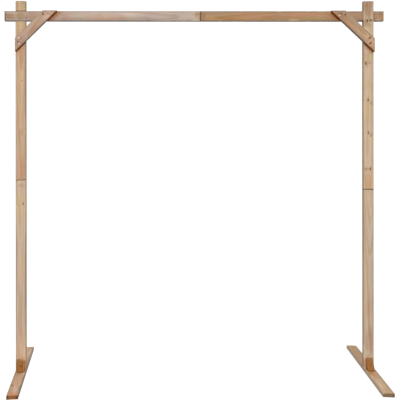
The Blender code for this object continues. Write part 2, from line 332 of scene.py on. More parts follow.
def buildSeamShadeAndStain():
    # a band beyond a plane beside another board: painted shadow and warm bounce under the braces, a dark
    # joint line elsewhere
    tree, given, result = startGroup("ShaderNodeTree", "seamShadeAndStain", {
        "Color": "Color", "Vector": "Vector", "Point": "Vector", "Away": "Vector", "Width": 0.003,
        "Facing": 1.0, "Stain": "Color", "Strength": 0.8, "Seed": 0.0,
    }, {"Color": "Color"})
    vector, seed = given["Vector"], given["Seed"]
    offset = calcVector(tree, "SUBTRACT", vector, given["Point"])
    distance = calcVector(tree, "DOT_PRODUCT", offset, given["Away"])
    ragged = streakNoise(tree, vector, (130.0, 130.0, 130.0), seed)[0]
    near = roughen(tree, calc(tree, "DIVIDE", distance, given["Width"]), ragged, 0.7)
    mask = calc(tree, "MULTIPLY", softStep(tree, near, 1.3, 0.5), softStep(tree, distance, -0.006, -0.003))
    mask = calc(tree, "MULTIPLY", mask, given["Facing"])
    plug(tree, layOver(tree, given["Color"], given["Stain"], mask, given["Strength"]), result["Color"])
    return tree


def buildSpeckle():
    # small scattered marks: pitch specks, dust and dents
    tree, given, result = startGroup("ShaderNodeTree", "speckle", {
        "Vector": "Vector", "Pitch": 60.0, "Size": 0.12, "Seed": 0.0,
    }, {"Mask": "Float"})
    vector, seed = given["Vector"], given["Seed"]
    values = {"Vector": vector, "W": seed, "Scale": given["Pitch"], "Randomness": 1.0}
    cells = addNode(tree, "ShaderNodeTexVoronoi", values, voronoi_dimensions="4D").outputs["Distance"]
    ragged = streakNoise(tree, vector, (700.0, 700.0, 500.0), seed)[0]
    cells = roughen(tree, cells, ragged, 0.16)
    core = calc(tree, "MULTIPLY", given["Size"], 0.4)
    plug(tree, softStep(tree, cells, given["Size"], core), result["Mask"])
    return tree


knotInGrain = buildKnot()
toneStreaks = buildToneStreaks()
stainPatch = buildStainPatch()
pineFigure = buildPineFigure()
edgeSoilAndShade = buildEdgeSoilAndShade()
endBand = buildEndBand()
seamShadeAndStain = buildSeamShadeAndStain()
speckle = buildSpeckle()
print("wood effects ready")

# for every wooden piece, unless its own look says otherwise
woodFinish = {
    "halo": (170, 128, 92), "haloStrength": 0.35, "knotRim": (128, 90, 58), "knotCore": (68, 43, 27),
    "knotStrength": 0.88, "speck": (120, 90, 66), "speckStrength": 0.35, "speckPitch": 45.0,
    "speckSize": 0.10, "soilAndShadeReach": 0.0062, "roughness": 0.60, "roughnessSpread": 0.14, "specular": 0.22,
    "bump": 0.35, "bumpDepth": 0.0006,
}
sideMask = (0.55, 0.85)  # how far a side may turn from a direction and still take its seam or its painted side shading
seedSteps = {"patches": 20, "soil": 40, "ends": 60, "seams": 70, "saw": 80, "marks": 90}


def addStains(tree, colour, vector, toBoard, rows, seed):
    # a patch, with a reach across and along, goes right through the board; a mark also has a depth
    for number, (spot, reach, stain, strength) in enumerate(rows):
        if len(reach) == 2:
            reach = (reach[0], 1.0, reach[1])
        colour = useGroup(tree, stainPatch, {
            "Color": colour, "Vector": vector, "Centre": toBoard @ Vector(spot), "Reach": reach,
            "Stain": srgb(*stain), "Strength": strength, "Seed": seed + number,
        })["Color"]
    return colour


def woodMaterial(name, place, halfSize, look):
    # place is the board's own frame: x across, y through, z along the grain
    material, tree = startMaterial(name)
    finish = {**woodFinish, **look}
    seeds = {key: look["seed"] + step for key, step in seedSteps.items()}
    toBoard = place.inverted()
    here = addNode(tree, "ShaderNodeTexCoord").outputs["Object"]
    values = {"Vector": here, "Location": place.translation, "Rotation": place.to_euler()}
    board = addNode(tree, "ShaderNodeMapping", values, vector_type="TEXTURE").outputs["Vector"]

    # each knot bends the grain that the next one, the patches and the figure read
    grain = board
    core = rim = halo = None
    for number, (spot, (radius,)) in enumerate(look.get("knots", ())):
        knot = useGroup(tree, knotInGrain, {
            "Vector": grain, "Centre": toBoard @ Vector(spot), "Radius": radius,
            "Seed": look["seed"] + number,
        })
        grain = knot["Vector"]
        core = knot["Core"] if core is None else calc(tree, "MAXIMUM", core, knot["Core"])
        rim = knot["Rim"] if rim is None else calc(tree, "MINIMUM", rim, knot["Rim"])
        halo = knot["Halo"] if halo is None else calc(tree, "MAXIMUM", halo, knot["Halo"])

    pale, warm, cool, warmShare, coolShare = look["tones"]
    colour = useGroup(tree, toneStreaks, {
        "Vector": grain, "Pale": srgb(*pale), "Warm": srgb(*warm), "Cool": srgb(*cool),
        "Warm Share": warmShare, "Cool Share": coolShare, "Seed": look["seed"],
    })["Color"]
    colour = addStains(tree, colour, grain, toBoard, look.get("patches", ()), seeds["patches"])
    figure = useGroup(tree, pineFigure, {
        "Color": colour, "Vector": grain, "Pith": (*look["pith"], 0.0), "Ring Width": look["ringWidth"],
        "Tilt": look["tilt"], "Ring Contrast": look["ringContrast"], "Fibre Contrast": look["fibreContrast"],
        "Seed": look["seed"],
    })
    colour = figure["Color"]
    if halo is not None:
        colour = layOver(tree, colour, srgb(*finish["halo"]), halo, finish["haloStrength"])
        knotShade = mixColour(tree, rim, srgb(*finish["knotRim"]), srgb(*finish["knotCore"]))
        colour = layOver(tree, colour, knotShade, core, finish["knotStrength"])
    specks = useGroup(tree, speckle, {
        "Vector": board, "Pitch": finish["speckPitch"], "Size": finish["speckSize"], "Seed": look["seed"],
    })["Mask"]
    colour = layOver(tree, colour, srgb(*finish["speck"]), specks, finish["speckStrength"])
    # grime and painted shade along the arrises
    colour = useGroup(tree, edgeSoilAndShade, {
        "Color": colour, "Vector": board, "Half Size": halfSize, "Soil": srgb(*look["soil"]),
        "Strength": look["soilAndShadeStrength"], "Reach": finish["soilAndShadeReach"], "Seed": seeds["soil"],
    })["Color"]
    along = splitVector(tree, board)["Z"]
    for end, (width, wobble, stain, strength) in look.get("ends", {}).items():
        fromMiddle = calc(tree, "MULTIPLY", along, 1.0 if end == "low" else -1.0)
        colour = useGroup(tree, endBand, {
            "Color": colour, "Vector": board, "Distance": calc(tree, "ADD", fromMiddle, halfSize[2]),
            "Width": width, "Wobble": wobble, "Stain": srgb(*stain), "Strength": strength,
            "Seed": seeds["ends"],
        })["Color"]

    # seams, painted shadow under the braces and dark joint lines elsewhere, are on the front only, and
    # painted shade or light can be given to each side that faces one way
    facing = addNode(tree, "ShaderNodeNewGeometry").outputs["Normal"]
    forward = softStep(tree, calcVector(tree, "DOT_PRODUCT", facing, (0.0, -1.0, 0.0)), *sideMask)
    for number, (point, away, width, stain, strength) in enumerate(look.get("seams", ())):
        colour = useGroup(tree, seamShadeAndStain, {
            "Color": colour, "Vector": here, "Point": point, "Away": Vector(away).normalized(),
            "Width": width, "Facing": forward, "Stain": srgb(*stain), "Strength": strength,
            "Seed": seeds["seams"] + number,
        })["Color"]
    # painted shade or light on each side that faces one way
    for away, stain, strength in look.get("sideShading", ()):
        turned = calcVector(tree, "DOT_PRODUCT", facing, Vector(away).normalized())
        colour = layOver(tree, colour, srgb(*stain), softStep(tree, turned, *sideMask), strength)

    # sawn end grain drinks the finish and dries darker
    paleSaw, darkSaw, lateSaw = (srgb(*shade) for shade in look["endGrain"])
    endOn = calc(tree, "ABSOLUTE", calcVector(tree, "DOT_PRODUCT", facing, tuple(place.to_3x3().col[2])))
    endOn = softStep(tree, endOn, 0.45, 0.75)
    saw = streakNoise(tree, board, (40.0, 900.0, 40.0), seeds["saw"])[0]
    endShade = mixColour(tree, softStep(tree, saw, 0.35, 0.65), paleSaw, darkSaw)
    endShade = layOver(tree, endShade, lateSaw, figure["Latewood"], 0.6)
    colour = mixColour(tree, endOn, colour, endShade)
    colour = addStains(tree, colour, board, toBoard, look.get("marks", ()), seeds["marks"])

    roughness = calc(tree, "MULTIPLY_ADD", figure["Height"], finish["roughnessSpread"], finish["roughness"])
    sawMarks = calc(tree, "MULTIPLY", saw, calc(tree, "MULTIPLY", endOn, 1.5))
    pores = calc(tree, "ADD", figure["Height"], sawMarks)
    relief = calc(tree, "SUBTRACT", pores, calc(tree, "MULTIPLY", specks, 0.8))
    values = {"Base Color": colour, "Roughness": roughness, "Specular IOR Level": finish["specular"]}
    finishMaterial(tree, values, finish["bump"], finish["bumpDepth"], relief)
    return material


# Geometry Nodes: the planed board, its worn arrises, the screws and the splice plates

def sweepStraight(tree, start, end, section, steps=None):
    # the section drawn out from start to end, with closed ends
    line = form(tree, "CurvePrimitiveLine", {"Start": start, "End": end})
    if steps is not None:
        line = form(tree, "ResampleCurve", {"Curve": line, "Count": steps})
    values = {"Curve": line, "Profile Curve": section, "Fill Caps": True}
    return form(tree, "CurveToMesh", values)


def combine(tree, operation, first, *others):
    # DIFFERENCE takes the others from the first, UNION joins the others
    made = addNode(tree, "GeometryNodeMeshBoolean", solver="EXACT", operation=operation)
    plug(tree, first, made.inputs[0])
    for part in others:
        plug(tree, part, made.inputs[1])
    return made.outputs[0]


def finishTree(tree, geometry, given, result):
    # the export drops instances, so they are made real
    geometry = form(tree, "RealizeInstances", {"Geometry": geometry})
    geometry = form(tree, "SetMaterial", {"Geometry": geometry, "Material": given["Material"]})
    plug(tree, geometry, result["Geometry"])
    return tree


def buildPlankTree():
    # a straight board along Z, halved on one side where another board crosses
    tree, given, result = startGroup("GeometryNodeTree", "planedBoard", {
        "Geometry": "Geometry", "Width": 0.052, "Thickness": 0.019, "Length": 1.0, "Steps": 80,
        "Notched": False, "Notch Centre": 0.0, "Notch Length": 0.0526, "Notch Depth": 0.0097,
        "Notch Side": 1.0, "Material": "Material",
    }, {"Geometry": "Geometry"})
    half = calc(tree, "MULTIPLY", given["Length"], 0.5)
    low = joinVector(tree, 0.0, 0.0, calc(tree, "MULTIPLY", half, -1.0))
    high = joinVector(tree, 0.0, 0.0, half)
    values = {"Width": given["Width"], "Height": given["Thickness"]}
    section = form(tree, "CurvePrimitiveQuadrilateral", values)
    plank = sweepStraight(tree, low, high, section, given["Steps"])
    across = calc(tree, "MULTIPLY", given["Width"], 2.0)
    size = joinVector(tree, across, given["Thickness"], given["Notch Length"])
    block = form(tree, "MeshCube", {"Size": size})
    away = calc(tree, "SUBTRACT", given["Thickness"], given["Notch Depth"])
    spot = joinVector(tree, 0.0, calc(tree, "MULTIPLY", away, given["Notch Side"]), given["Notch Centre"])
    block = form(tree, "Transform", {"Geometry": block, "Translation": spot})
    halved = combine(tree, "DIFFERENCE", plank, block)
    values = {"Switch": given["Notched"], "False": plank, "True": halved}
    plank = form(tree, "Switch", values, input_type="GEOMETRY")
    return finishTree(tree, plank, given, result)


def buildWearTree():
    # nicks and soft rubs along the four arrises
    tree, given, result = startGroup("GeometryNodeTree", "wornArris", {
        "Geometry": "Geometry", "Half Width": 0.026, "Half Thickness": 0.0095, "Ease": 0.0014, "Wear": 0.0008,
        "Seed": 0.0, "Material": "Material",
    }, {"Geometry": "Geometry"})
    place = form(tree, "InputPosition")
    parts = splitVector(tree, place)
    masks = []
    for axis, half in (("X", "Half Width"), ("Y", "Half Thickness")):
        inside = calc(tree, "SUBTRACT", given[half], calc(tree, "ABSOLUTE", parts[axis]))
        masks.append(softStep(tree, inside, calc(tree, "MULTIPLY", given["Ease"], 0.98), 0.0))
    arris = calc(tree, "MULTIPLY", *masks)
    rub = streakNoise(tree, place, (30.0, 30.0, 34.0), given["Seed"], 3.0)[0]
    nick = streakNoise(tree, place, (60.0, 60.0, 120.0), laterSeed(tree, given["Seed"], 4.4), 1.0)[0]
    depth = calc(tree, "ADD", softStep(tree, rub, 0.48, 0.75), softStep(tree, nick, 0.66, 0.78))
    depth = calc(tree, "MULTIPLY", calc(tree, "MULTIPLY", depth, arris), given["Wear"])
    push = calc(tree, "MULTIPLY", depth, -2.0)
    inwardX = calc(tree, "MULTIPLY", calc(tree, "SIGN", parts["X"]), push)
    inwardY = calc(tree, "MULTIPLY", calc(tree, "SIGN", parts["Y"]), push)
    values = {"Geometry": given["Geometry"], "Offset": joinVector(tree, inwardX, inwardY, 0.0)}
    return finishTree(tree, form(tree, "SetPosition", values), given, result)


def turnedPiece(tree, start, length, startRadius, endRadius):
    # a round length along +Z, from start to start + length
    values = {"Vertices": roundSides, "Radius Bottom": startRadius, "Radius Top": endRadius, "Depth": length}
    piece = form(tree, "MeshCone", values, fill_type="NGON")
    values = {"Geometry": piece, "Translation": joinVector(tree, 0.0, 0.0, start)}
    return form(tree, "Transform", values)


def buildScrewTree():
    # countersunk wood screws with a cross recess, one on each seat point, driven along its "aim"
    tree, given, result = startGroup("GeometryNodeTree", "woodScrews", {
        "Geometry": "Geometry", "Head Radius": 0.004, "Cone Depth": 0.0028, "Shank Radius": 0.002,
        "Length": 0.03, "Recess": 0.0016, "Material": "Material",
    }, {"Geometry": "Geometry"})
    head, cone, shank = given["Head Radius"], given["Cone Depth"], given["Shank Radius"]
    rimDepth, sunkStart, overlap = 0.0004, 0.0003, 0.0002
    rim = turnedPiece(tree, 0.0, rimDepth, head, head)
    sunk = turnedPiece(tree, sunkStart, calc(tree, "SUBTRACT", cone, sunkStart), head, shank)
    tipLength = calc(tree, "MULTIPLY", shank, 2.5)
    shankStart = calc(tree, "SUBTRACT", cone, overlap)
    shankEnd = calc(tree, "SUBTRACT", given["Length"], tipLength)
    body = turnedPiece(tree, shankStart, calc(tree, "SUBTRACT", shankEnd, shankStart), shank, shank)
    tipStart = calc(tree, "SUBTRACT", shankEnd, overlap)
    tip = turnedPiece(tree, tipStart, tipLength, shank, calc(tree, "MULTIPLY", shank, 0.15))
    solid = combine(tree, "UNION", None, rim, sunk, body, tip)
    slotSize = joinVector(tree, calc(tree, "MULTIPLY", head, 1.15), calc(tree, "MULTIPLY", head, 0.26),
                          calc(tree, "MULTIPLY", given["Recess"], 2.0))
    slots = []
    for turn in (0.0, math.pi / 2):
        slot = form(tree, "MeshCube", {"Size": slotSize})
        values = {"Geometry": slot, "Rotation": (0.0, 0.0, turn)}
        slots.append(form(tree, "Transform", values))
    driven = combine(tree, "DIFFERENCE", solid, *slots)
    aim = form(tree, "InputNamedAttribute", {"Name": "aim"}, data_type="FLOAT_VECTOR")
    spin = form(tree, "InputNamedAttribute", {"Name": "spin"}, data_type="FLOAT")
    turned = addNode(tree, "FunctionNodeAlignRotationToVector", {"Vector": aim}, axis="Z").outputs[0]
    values = {"Euler": joinVector(tree, 0.0, 0.0, spin)}
    spun = addNode(tree, "FunctionNodeEulerToRotation", values).outputs[0]
    values = {"Rotation": turned, "Rotate By": spun}
    rotation = addNode(tree, "FunctionNodeRotateRotation", values, rotation_space="LOCAL").outputs[0]
    values = {"Points": given["Geometry"], "Instance": driven, "Rotation": rotation}
    return finishTree(tree, form(tree, "InstanceOnPoints", values), given, result)


def buildPlateTree():
    # flat plate with rounded corners, countersunk at each point that comes in
    tree, given, result = startGroup("GeometryNodeTree", "splicePlate", {
        "Geometry": "Geometry", "Width": 0.03, "Length": 0.12, "Thickness": 0.0025, "Corner": 0.004,
        "Hole Radius": 0.0021, "Sink Radius": 0.0038, "Material": "Material",
    }, {"Geometry": "Geometry"})
    values = {"Width": given["Width"], "Height": given["Length"]}
    outline = form(tree, "CurvePrimitiveQuadrilateral", values)
    values = {"Curve": outline, "Radius": given["Corner"], "Count": 6}
    outline = form(tree, "FilletCurve", values, mode="POLY")
    thickness, bore, sink = given["Thickness"], given["Hole Radius"], given["Sink Radius"]
    plate = sweepStraight(tree, (0.0, 0.0, 0.0), joinVector(tree, 0.0, 0.0, thickness), outline)
    drill = turnedPiece(tree, -0.001, calc(tree, "ADD", thickness, 0.002), bore, bore)
    proud = 0.0002  # how far the countersink stands above the plate
    sinkDepth = calc(tree, "SUBTRACT", sink, bore)
    sinkStart = calc(tree, "SUBTRACT", thickness, sinkDepth)
    countersink = turnedPiece(tree, sinkStart, calc(tree, "ADD", sinkDepth, proud), bore,
                              calc(tree, "ADD", sink, proud))
    values = {"Points": given["Geometry"], "Instance": combine(tree, "UNION", None, drill, countersink)}
    holes = form(tree, "InstanceOnPoints", values)
    holes = form(tree, "RealizeInstances", {"Geometry": holes})
    return finishTree(tree, combine(tree, "DIFFERENCE", plate, holes), given, result)


plankTree = buildPlankTree()
wearTree = buildWearTree()
screwTree = buildScrewTree()
plateTree = buildPlateTree()


def addTree(piece, tree, values):
    modifier = piece.modifiers.new(tree.name, "NODES")
    modifier.node_group = tree
    for item in tree.interface.items_tree:
        if item.item_type == "SOCKET" and item.in_out == "INPUT" and item.name in values:
            modifier[item.identifier] = values[item.name]


def addPiece(name, mesh):
    piece = bpy.data.objects.new(name, mesh)
    bpy.context.scene.collection.objects.link(piece)
    return piece


def pieceName(node):
    # left_post_upper becomes leftPostUpper
    first, *others = node.split("_")
    return first + "".join(word.capitalize() for word in others)


def easeEdges(piece, width, segments, degrees):
    bevel = piece.modifiers.new("easedEdges", "BEVEL")
    bevel.width = width
    bevel.segments = segments
    bevel.limit_method = "ANGLE"
    bevel.angle_limit = math.radians(degrees)


def bakeModifiers(piece):
    bpy.context.view_layer.update()
    graph = bpy.context.evaluated_depsgraph_get()
    mesh = bpy.data.meshes.new_from_object(piece.evaluated_get(graph))
    piece.modifiers.clear()
    piece.data = mesh
    return mesh


def finishPiece(piece, material, slot, *nodes):
    piece.data.name = piece.name
    piece.data.materials.clear()
    piece.data.materials.append(material)
    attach(piece, "root")
    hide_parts(*nodes)


def loftSolid(shape, loops):
    # adds a closed solid through loops that have the same number of points
    loops = [[shape.verts.new(point) for point in loop] for loop in loops]
    shape.faces.new(list(reversed(loops[0])))
    shape.faces.new(loops[-1])
    for first, second in zip(loops, loops[1:]):
        for index in range(len(first)):
            after = (index + 1) % len(first)
            shape.faces.new((first[index], first[after], second[after], second[index]))


def sawOff(shape, point, normal):
    # takes off what lies beyond the plane and closes the cut
    everything = shape.verts[:] + shape.edges[:] + shape.faces[:]
    cut = bmesh.ops.bisect_plane(shape, geom=everything, dist=1e-6, plane_co=point, plane_no=normal,
                                 clear_outer=True)
    rim = [item for item in cut["geom_cut"] if isinstance(item, bmesh.types.BMEdge)]
    bmesh.ops.holes_fill(shape, edges=rim)


def storeSolid(shape, mesh):
    bmesh.ops.recalc_face_normals(shape, faces=shape.faces)
    shape.to_mesh(mesh)
    shape.free()
    return mesh


# Screws first, because they say where the boards are drilled

# "coat" is the stain and dirt on the head, and how much of the zinc it covers
usualCoat = ((92, 66, 46), 1.0)
boardScrew = {"head": 0.0040, "cone": 0.0028, "shank": 0.0020, "coat": usualCoat}
screwKinds = {
    "brace": {**boardScrew, "aim": (0, 1, 0)},
    "frontBlock": {**boardScrew, "aim": (0, 1, 0)},
    "rearBlock": {**boardScrew, "aim": (0, -1, 0)},
    "foot": {"head": 0.0042, "cone": 0.0030, "shank": 0.0022, "coat": usualCoat, "aim": (0, 0, 1)},
    "plate": {"head": 0.0035, "cone": 0.0020, "shank": 0.0018, "coat": ((96, 90, 78), 0.35),
              "aim": (0, -1, 0)},
}
screwGroups = {}
for side in sides:
    screwGroups[side + "BraceScrews"] = ("brace", [f"{side}_brace_screw_{n}" for n in range(1, 5)])
    screwGroups[side + "FootScrews"] = ("foot", [f"{side}_foot_screw_{n}" for n in range(1, 3)])
    screwGroups[side + "FrontBlockScrew"] = ("frontBlock", [side + "_front_block_screw"])
    screwGroups[side + "RearBlockScrew"] = ("rearBlock", [side + "_rear_block_screw"])
    screwGroups[side + "PostSpliceScrews"] = ("plate", [f"{side}_post_splice_screw_{n}" for n in range(1, 5)])
screwGroups["beamSpliceScrews"] = ("plate", [f"beam_splice_screw_{n}" for n in range(1, 5)])

# screws with a coat of their own
screwCoats = {
    "left_brace_screw_1": ((142, 88, 70), 1.0), "left_brace_screw_2": ((214, 180, 154), 0.95),
    "left_brace_screw_3": ((150, 128, 108), 0.20), "left_brace_screw_4": ((150, 128, 108), 0.25),
    "right_brace_screw_1": ((90, 60, 42), 1.0), "right_brace_screw_2": ((228, 188, 150), 0.75),
    "left_front_block_screw": ((118, 70, 30), 1.0), "right_front_block_screw": ((186, 124, 62), 1.0),
}
screwFinish = {"zinc": (206, 192, 174), "grime": (60, 48, 38), "grimePitch": 900.0, "grimeStrength": 0.35,
               "bump": 0.3, "bumpDepth": 0.0002, "recess": 0.6}  # the recess is a share of the cone's depth


def screwSeat(node, aim):
    # middle of the head's top, and the length, from the CAD screw
    low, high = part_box(node)
    seat = (low + high) / 2
    axis = max(range(3), key=lambda index: abs(aim[index]))
    seat[axis] = low[axis] if aim[axis] > 0 else high[axis]
    return seat, high[axis] - low[axis]


def makeDrill(kind, seats, length):
    # the bore, countersink and sunk mouth of each hole, all in one mesh
    wide, narrow = kind["head"] + fitGap, kind["shank"] + fitGap
    mouth = 0.012  # how far the drill stands out of the board
    rings = [(wide, -mouth), (wide, fitGap), (narrow, kind["cone"] + fitGap), (narrow, length + fitGap)]
    turn = Vector((0, 0, 1)).rotation_difference(Vector(kind["aim"])).to_matrix().to_4x4()
    angles = [2 * math.pi * step / roundSides for step in range(roundSides)]
    shape = bmesh.new()
    for seat in seats:
        place = Matrix.Translation(seat) @ turn
        loops = [[place @ Vector((radius * math.cos(a), radius * math.sin(a), depth)) for a in angles]
                 for radius, depth in rings]
        loftSolid(shape, loops)
    return storeSolid(shape, bpy.data.meshes.new("drill"))


def makeScrewMaterial():
    # dulled yellow zinc; "tarnish" is 1 where the "coat" covers the screw and 0 on bright metal
    material, tree = startMaterial("dulledScrewSteel")
    here = addNode(tree, "ShaderNodeTexCoord").outputs["Object"]
    tarnish = addNode(tree, "ShaderNodeAttribute", attribute_name="tarnish").outputs["Fac"]
    coat = addNode(tree, "ShaderNodeAttribute", attribute_name="coat").outputs["Color"]
    cloud = streakNoise(tree, here, (420.0, 420.0, 420.0), 3.0, 3.0)[0]
    mask = calc(tree, "MULTIPLY", tarnish, softStep(tree, cloud, 0.20, 0.60, 0.75, 1.0))
    colour = mixColour(tree, mask, srgb(*screwFinish["zinc"]), coat)
    values = {"Vector": here, "Pitch": screwFinish["grimePitch"], "Size": 0.25, "Seed": 5.0}
    grime = useGroup(tree, speckle, values)["Mask"]
    colour = layOver(tree, colour, srgb(*screwFinish["grime"]), grime, screwFinish["grimeStrength"])
    metal = calc(tree, "MULTIPLY_ADD", mask, -0.85, 0.95)
    roughness = calc(tree, "MULTIPLY_ADD", mask, 0.25, 0.33)
    values = {"Base Color": colour, "Metallic": metal, "Roughness": roughness}
    finishMaterial(tree, values, screwFinish["bump"], screwFinish["bumpDepth"], cloud)
    return material


screwMaterial = makeScrewMaterial()
drills = {}
for name, (kindName, nodes) in screwGroups.items():
    kind = screwKinds[kindName]
    seats = []
    for node in nodes:
        seat, length = screwSeat(node, kind["aim"])
        seats.append(seat)
    mesh = bpy.data.meshes.new(name)
    mesh.from_pydata(seats, [], [])
    for label, kindOfValue in (("aim", "FLOAT_VECTOR"), ("spin", "FLOAT"), ("tarnish", "FLOAT"),
                               ("coat", "FLOAT_COLOR")):
        mesh.attributes.new(label, kindOfValue, "POINT")
    for index, node in enumerate(nodes):
        mesh.attributes["aim"].data[index].vector = kind["aim"]
        # each cross stops at a turn of its own
        mesh.attributes["spin"].data[index].value = (0.4 + 1.7 * index + len(name)) % math.pi
        coat, tarnish = screwCoats.get(node, kind["coat"])
        mesh.attributes["tarnish"].data[index].value = tarnish
        mesh.attributes["coat"].data[index].color = srgb(*coat)
    piece = addPiece(name, mesh)
    addTree(piece, screwTree, {
        "Head Radius": kind["head"], "Cone Depth": kind["cone"], "Shank Radius": kind["shank"],
        "Length": length, "Recess": kind["cone"] * screwFinish["recess"], "Material": screwMaterial,
    })
    bakeModifiers(piece)
    finishPiece(piece, screwMaterial, "screw_steel", *nodes)
    drills[name] = makeDrill(kind, seats, length)
print("screws:", len(screwGroups), "groups")


# Boards

boardStock = {"thickness": 0.019, "ease": 0.0014, "wear": 0.0005, "step": 0.012}
braceStock = {"width": 0.052, "length": 0.42}
footStock = {"width": 0.0555, "length": 0.598}
footPlaces = {
    "left": {"x": -0.9257, "y": -0.0045, "turn": math.radians(5.45)},
    "right": {"x": 0.9384, "y": 0.0045, "turn": math.radians(-5.62)},
}


def placeFrom(centre, across, through, along):
    turn = Matrix((across, through, along)).transposed().to_4x4()
    return Matrix.Translation(centre) @ turn


# each of these gives the board's own frame, its width and its length

def uprightPlace(node):
    low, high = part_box(node)
    return placeFrom((low + high) / 2, (1, 0, 0), (0, 1, 0), (0, 0, 1)), high.x - low.x, high.z - low.z


def beamPlace(node):
    low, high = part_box(node)
    return placeFrom((low + high) / 2, (0, 0, 1), (0, -1, 0), (1, 0, 0)), high.z - low.z, high.x - low.x


def footPlace(side):
    foot = footPlaces[side]
    lying = placeFrom((0, 0, 0), (1, 0, 0), (0, 0, -1), (0, 1, 0))
    turn = Matrix.Rotation(foot["turn"], 4, "Z")
    place = Matrix.Translation((foot["x"], foot["y"], boardStock["thickness"] / 2)) @ turn @ lying
    return place, footStock["width"], footStock["length"]


def bracePlace(side):
    # the brace's lower edge runs between two corners of the CAD brace's box
    low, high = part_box(side + "_corner_brace")
    way = -outward[side]
    along = Vector((way * (high.x - low.x), 0, high.z - low.z)).normalized()
    across = Vector((along.z, 0, -along.x))
    centre = (low + high) / 2 - across * (way * braceStock["width"] / 2)
    return placeFrom(centre, across, (0, 1, 0), along), braceStock["width"], braceStock["length"]


def underBrace(side, height):
    # a spot on the brace's lower edge, and the way straight out of that edge
    low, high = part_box(side + "_corner_brace")
    share = (height - low.z) / (high.z - low.z)
    x = low.x + share * (high.x - low.x) if side == "left" else high.x - share * (high.x - low.x)
    drop, run = high.z - low.z, high.x - low.x
    return Vector((x, (low.y + high.y) / 2, height)), Vector((-outward[side] * drop, 0, -run)).normalized()


def trimMesh(mesh, place, cuts):
    # saws the mesh at planes given in the arch's own frame
    toBoard = place.inverted()
    shape = bmesh.new()
    shape.from_mesh(mesh)
    for point, normal in cuts:
        sawOff(shape, toBoard @ Vector(point), toBoard.to_3x3() @ Vector(normal))
    storeSolid(shape, mesh)


def drillPiece(piece, place, drillNames):
    # drills the piece while it lies at the origin, then moves its mesh to its place
    cutters = []
    for drillName in drillNames:
        cutter = addPiece("cutter", drills[drillName])
        cutter.matrix_world = place.inverted()
        cutter.hide_render = True
        boolean = piece.modifiers.new(drillName, "BOOLEAN")
        boolean.operation = "DIFFERENCE"
        boolean.solver = "EXACT"
        boolean.object = cutter
        cutters.append(cutter)
    bakeModifiers(piece).transform(place)
    for cutter in cutters:
        bpy.data.objects.remove(cutter, do_unlink=True)


def makeBoard(name, node, slot, place, width, length, look, notch, cuts, drillNames):
    thickness = boardStock["thickness"]
    material = woodMaterial(name + "Pine", place, (width / 2, thickness / 2, length / 2), look)
    piece = addPiece(name, bpy.data.meshes.new(name))
    values = {"Width": width, "Thickness": thickness, "Length": length,
              "Steps": max(2, round(length / boardStock["step"])), "Material": material}
    if notch:
        values.update({"Notched": True, "Notch Centre": notch[0], "Notch Length": notch[1],
                       "Notch Side": notch[2]})
    addTree(piece, plankTree, values)
    if cuts:
        bakeModifiers(piece)
        trimMesh(piece.data, place, cuts)
    easeEdges(piece, boardStock["ease"], 3, 30)
    addTree(piece, wearTree, {
        "Half Width": width / 2, "Half Thickness": thickness / 2, "Ease": boardStock["ease"],
        "Wear": boardStock["wear"], "Seed": float(look["seed"]), "Material": material,
    })
    drillPiece(piece, place, drillNames)
    finishPiece(piece, material, slot, node)


frontFace = -0.0255  # Y of the posts' and the beam's front
braceFace = -0.0448  # and of the braces' front
footFace = 0.019  # height of the foot boards' top
footFront = -0.302  # Y of their front ends, near enough for a mark

# painted shadow under the braces, on what lies behind: a thin dark line, an orange one of painted warm bounce
# light, and a haze
braceShadowLine = ((126, 58, 4), 1.0, 0.0018)
braceShadowGlow = {"beam": ((178, 112, 62), 0.70, 0.0100), "post": ((204, 144, 98), 0.35, 0.0090)}
braceShadowHaze = {
    "left": {"beam": ((152, 108, 78), 0.80, 0.021), "post": ((196, 152, 106), 0.35, 0.016)},
    "right": {"beam": ((150, 102, 66), 0.60, 0.018), "post": ((172, 130, 92), 0.45, 0.015)},
}
# painted shade on the braces' lower edges, darkening the whole edge, and runs of painted warm bounce near the
# beam: the height, the colour and the reach along the edge
underSideShade = ((146, 112, 84), 0.9)
underShadeRuns = {
    "left": ((1.902, (182, 102, 22), 0.036), (1.728, (180, 108, 36), 0.034)),
    "right": ((1.898, (186, 96, 0), 0.044), (1.728, (180, 108, 36), 0.034)),
}


def braceShadowSeams(side, behind):
    # painted shadow and warm bounce below the brace's lower edge, on the post or beam behind it
    point, away = underBrace(side, 1.927)
    point.y = frontFace
    kinds = (braceShadowHaze[side][behind], braceShadowGlow[behind], braceShadowLine)
    return [(point, away, width, stain, strength) for stain, strength, width in kinds]


def underShadeMarks(side):
    # painted shade and warm bounce on the brace's lower edge
    return [(underBrace(side, height)[0], (0.0035, 0.020, along), stain, 0.9)
            for height, stain, along in underShadeRuns[side]]


def onFace(face, rows):
    # a row is in mm: x, then the height, or y on a foot board; a knot's radius, a patch's reach across
    # and along, or a mark's reach across, through and along; then colour and strength, except for a knot.
    # A row that starts with a whole spot is in metres and stays as it is
    full = []
    for row in rows:
        if isinstance(row[0], (int, float)):
            paint = row[-2:] if isinstance(row[-2], tuple) else ()
            x, other, *reach = (value / 1000 for value in row[:len(row) - len(paint)])
            spot = (x, other, face) if face == footFace else (x, face, other)
            row = (spot, tuple(reach), *paint)
        full.append(row)
    return full


# sawn ends: the pale and the dark tone of the saw marks, and the latewood
paleEnd = ((196, 160, 122), (178, 140, 104), (142, 104, 72))
darkEnd = ((172, 110, 58), (146, 90, 46), (104, 64, 36))
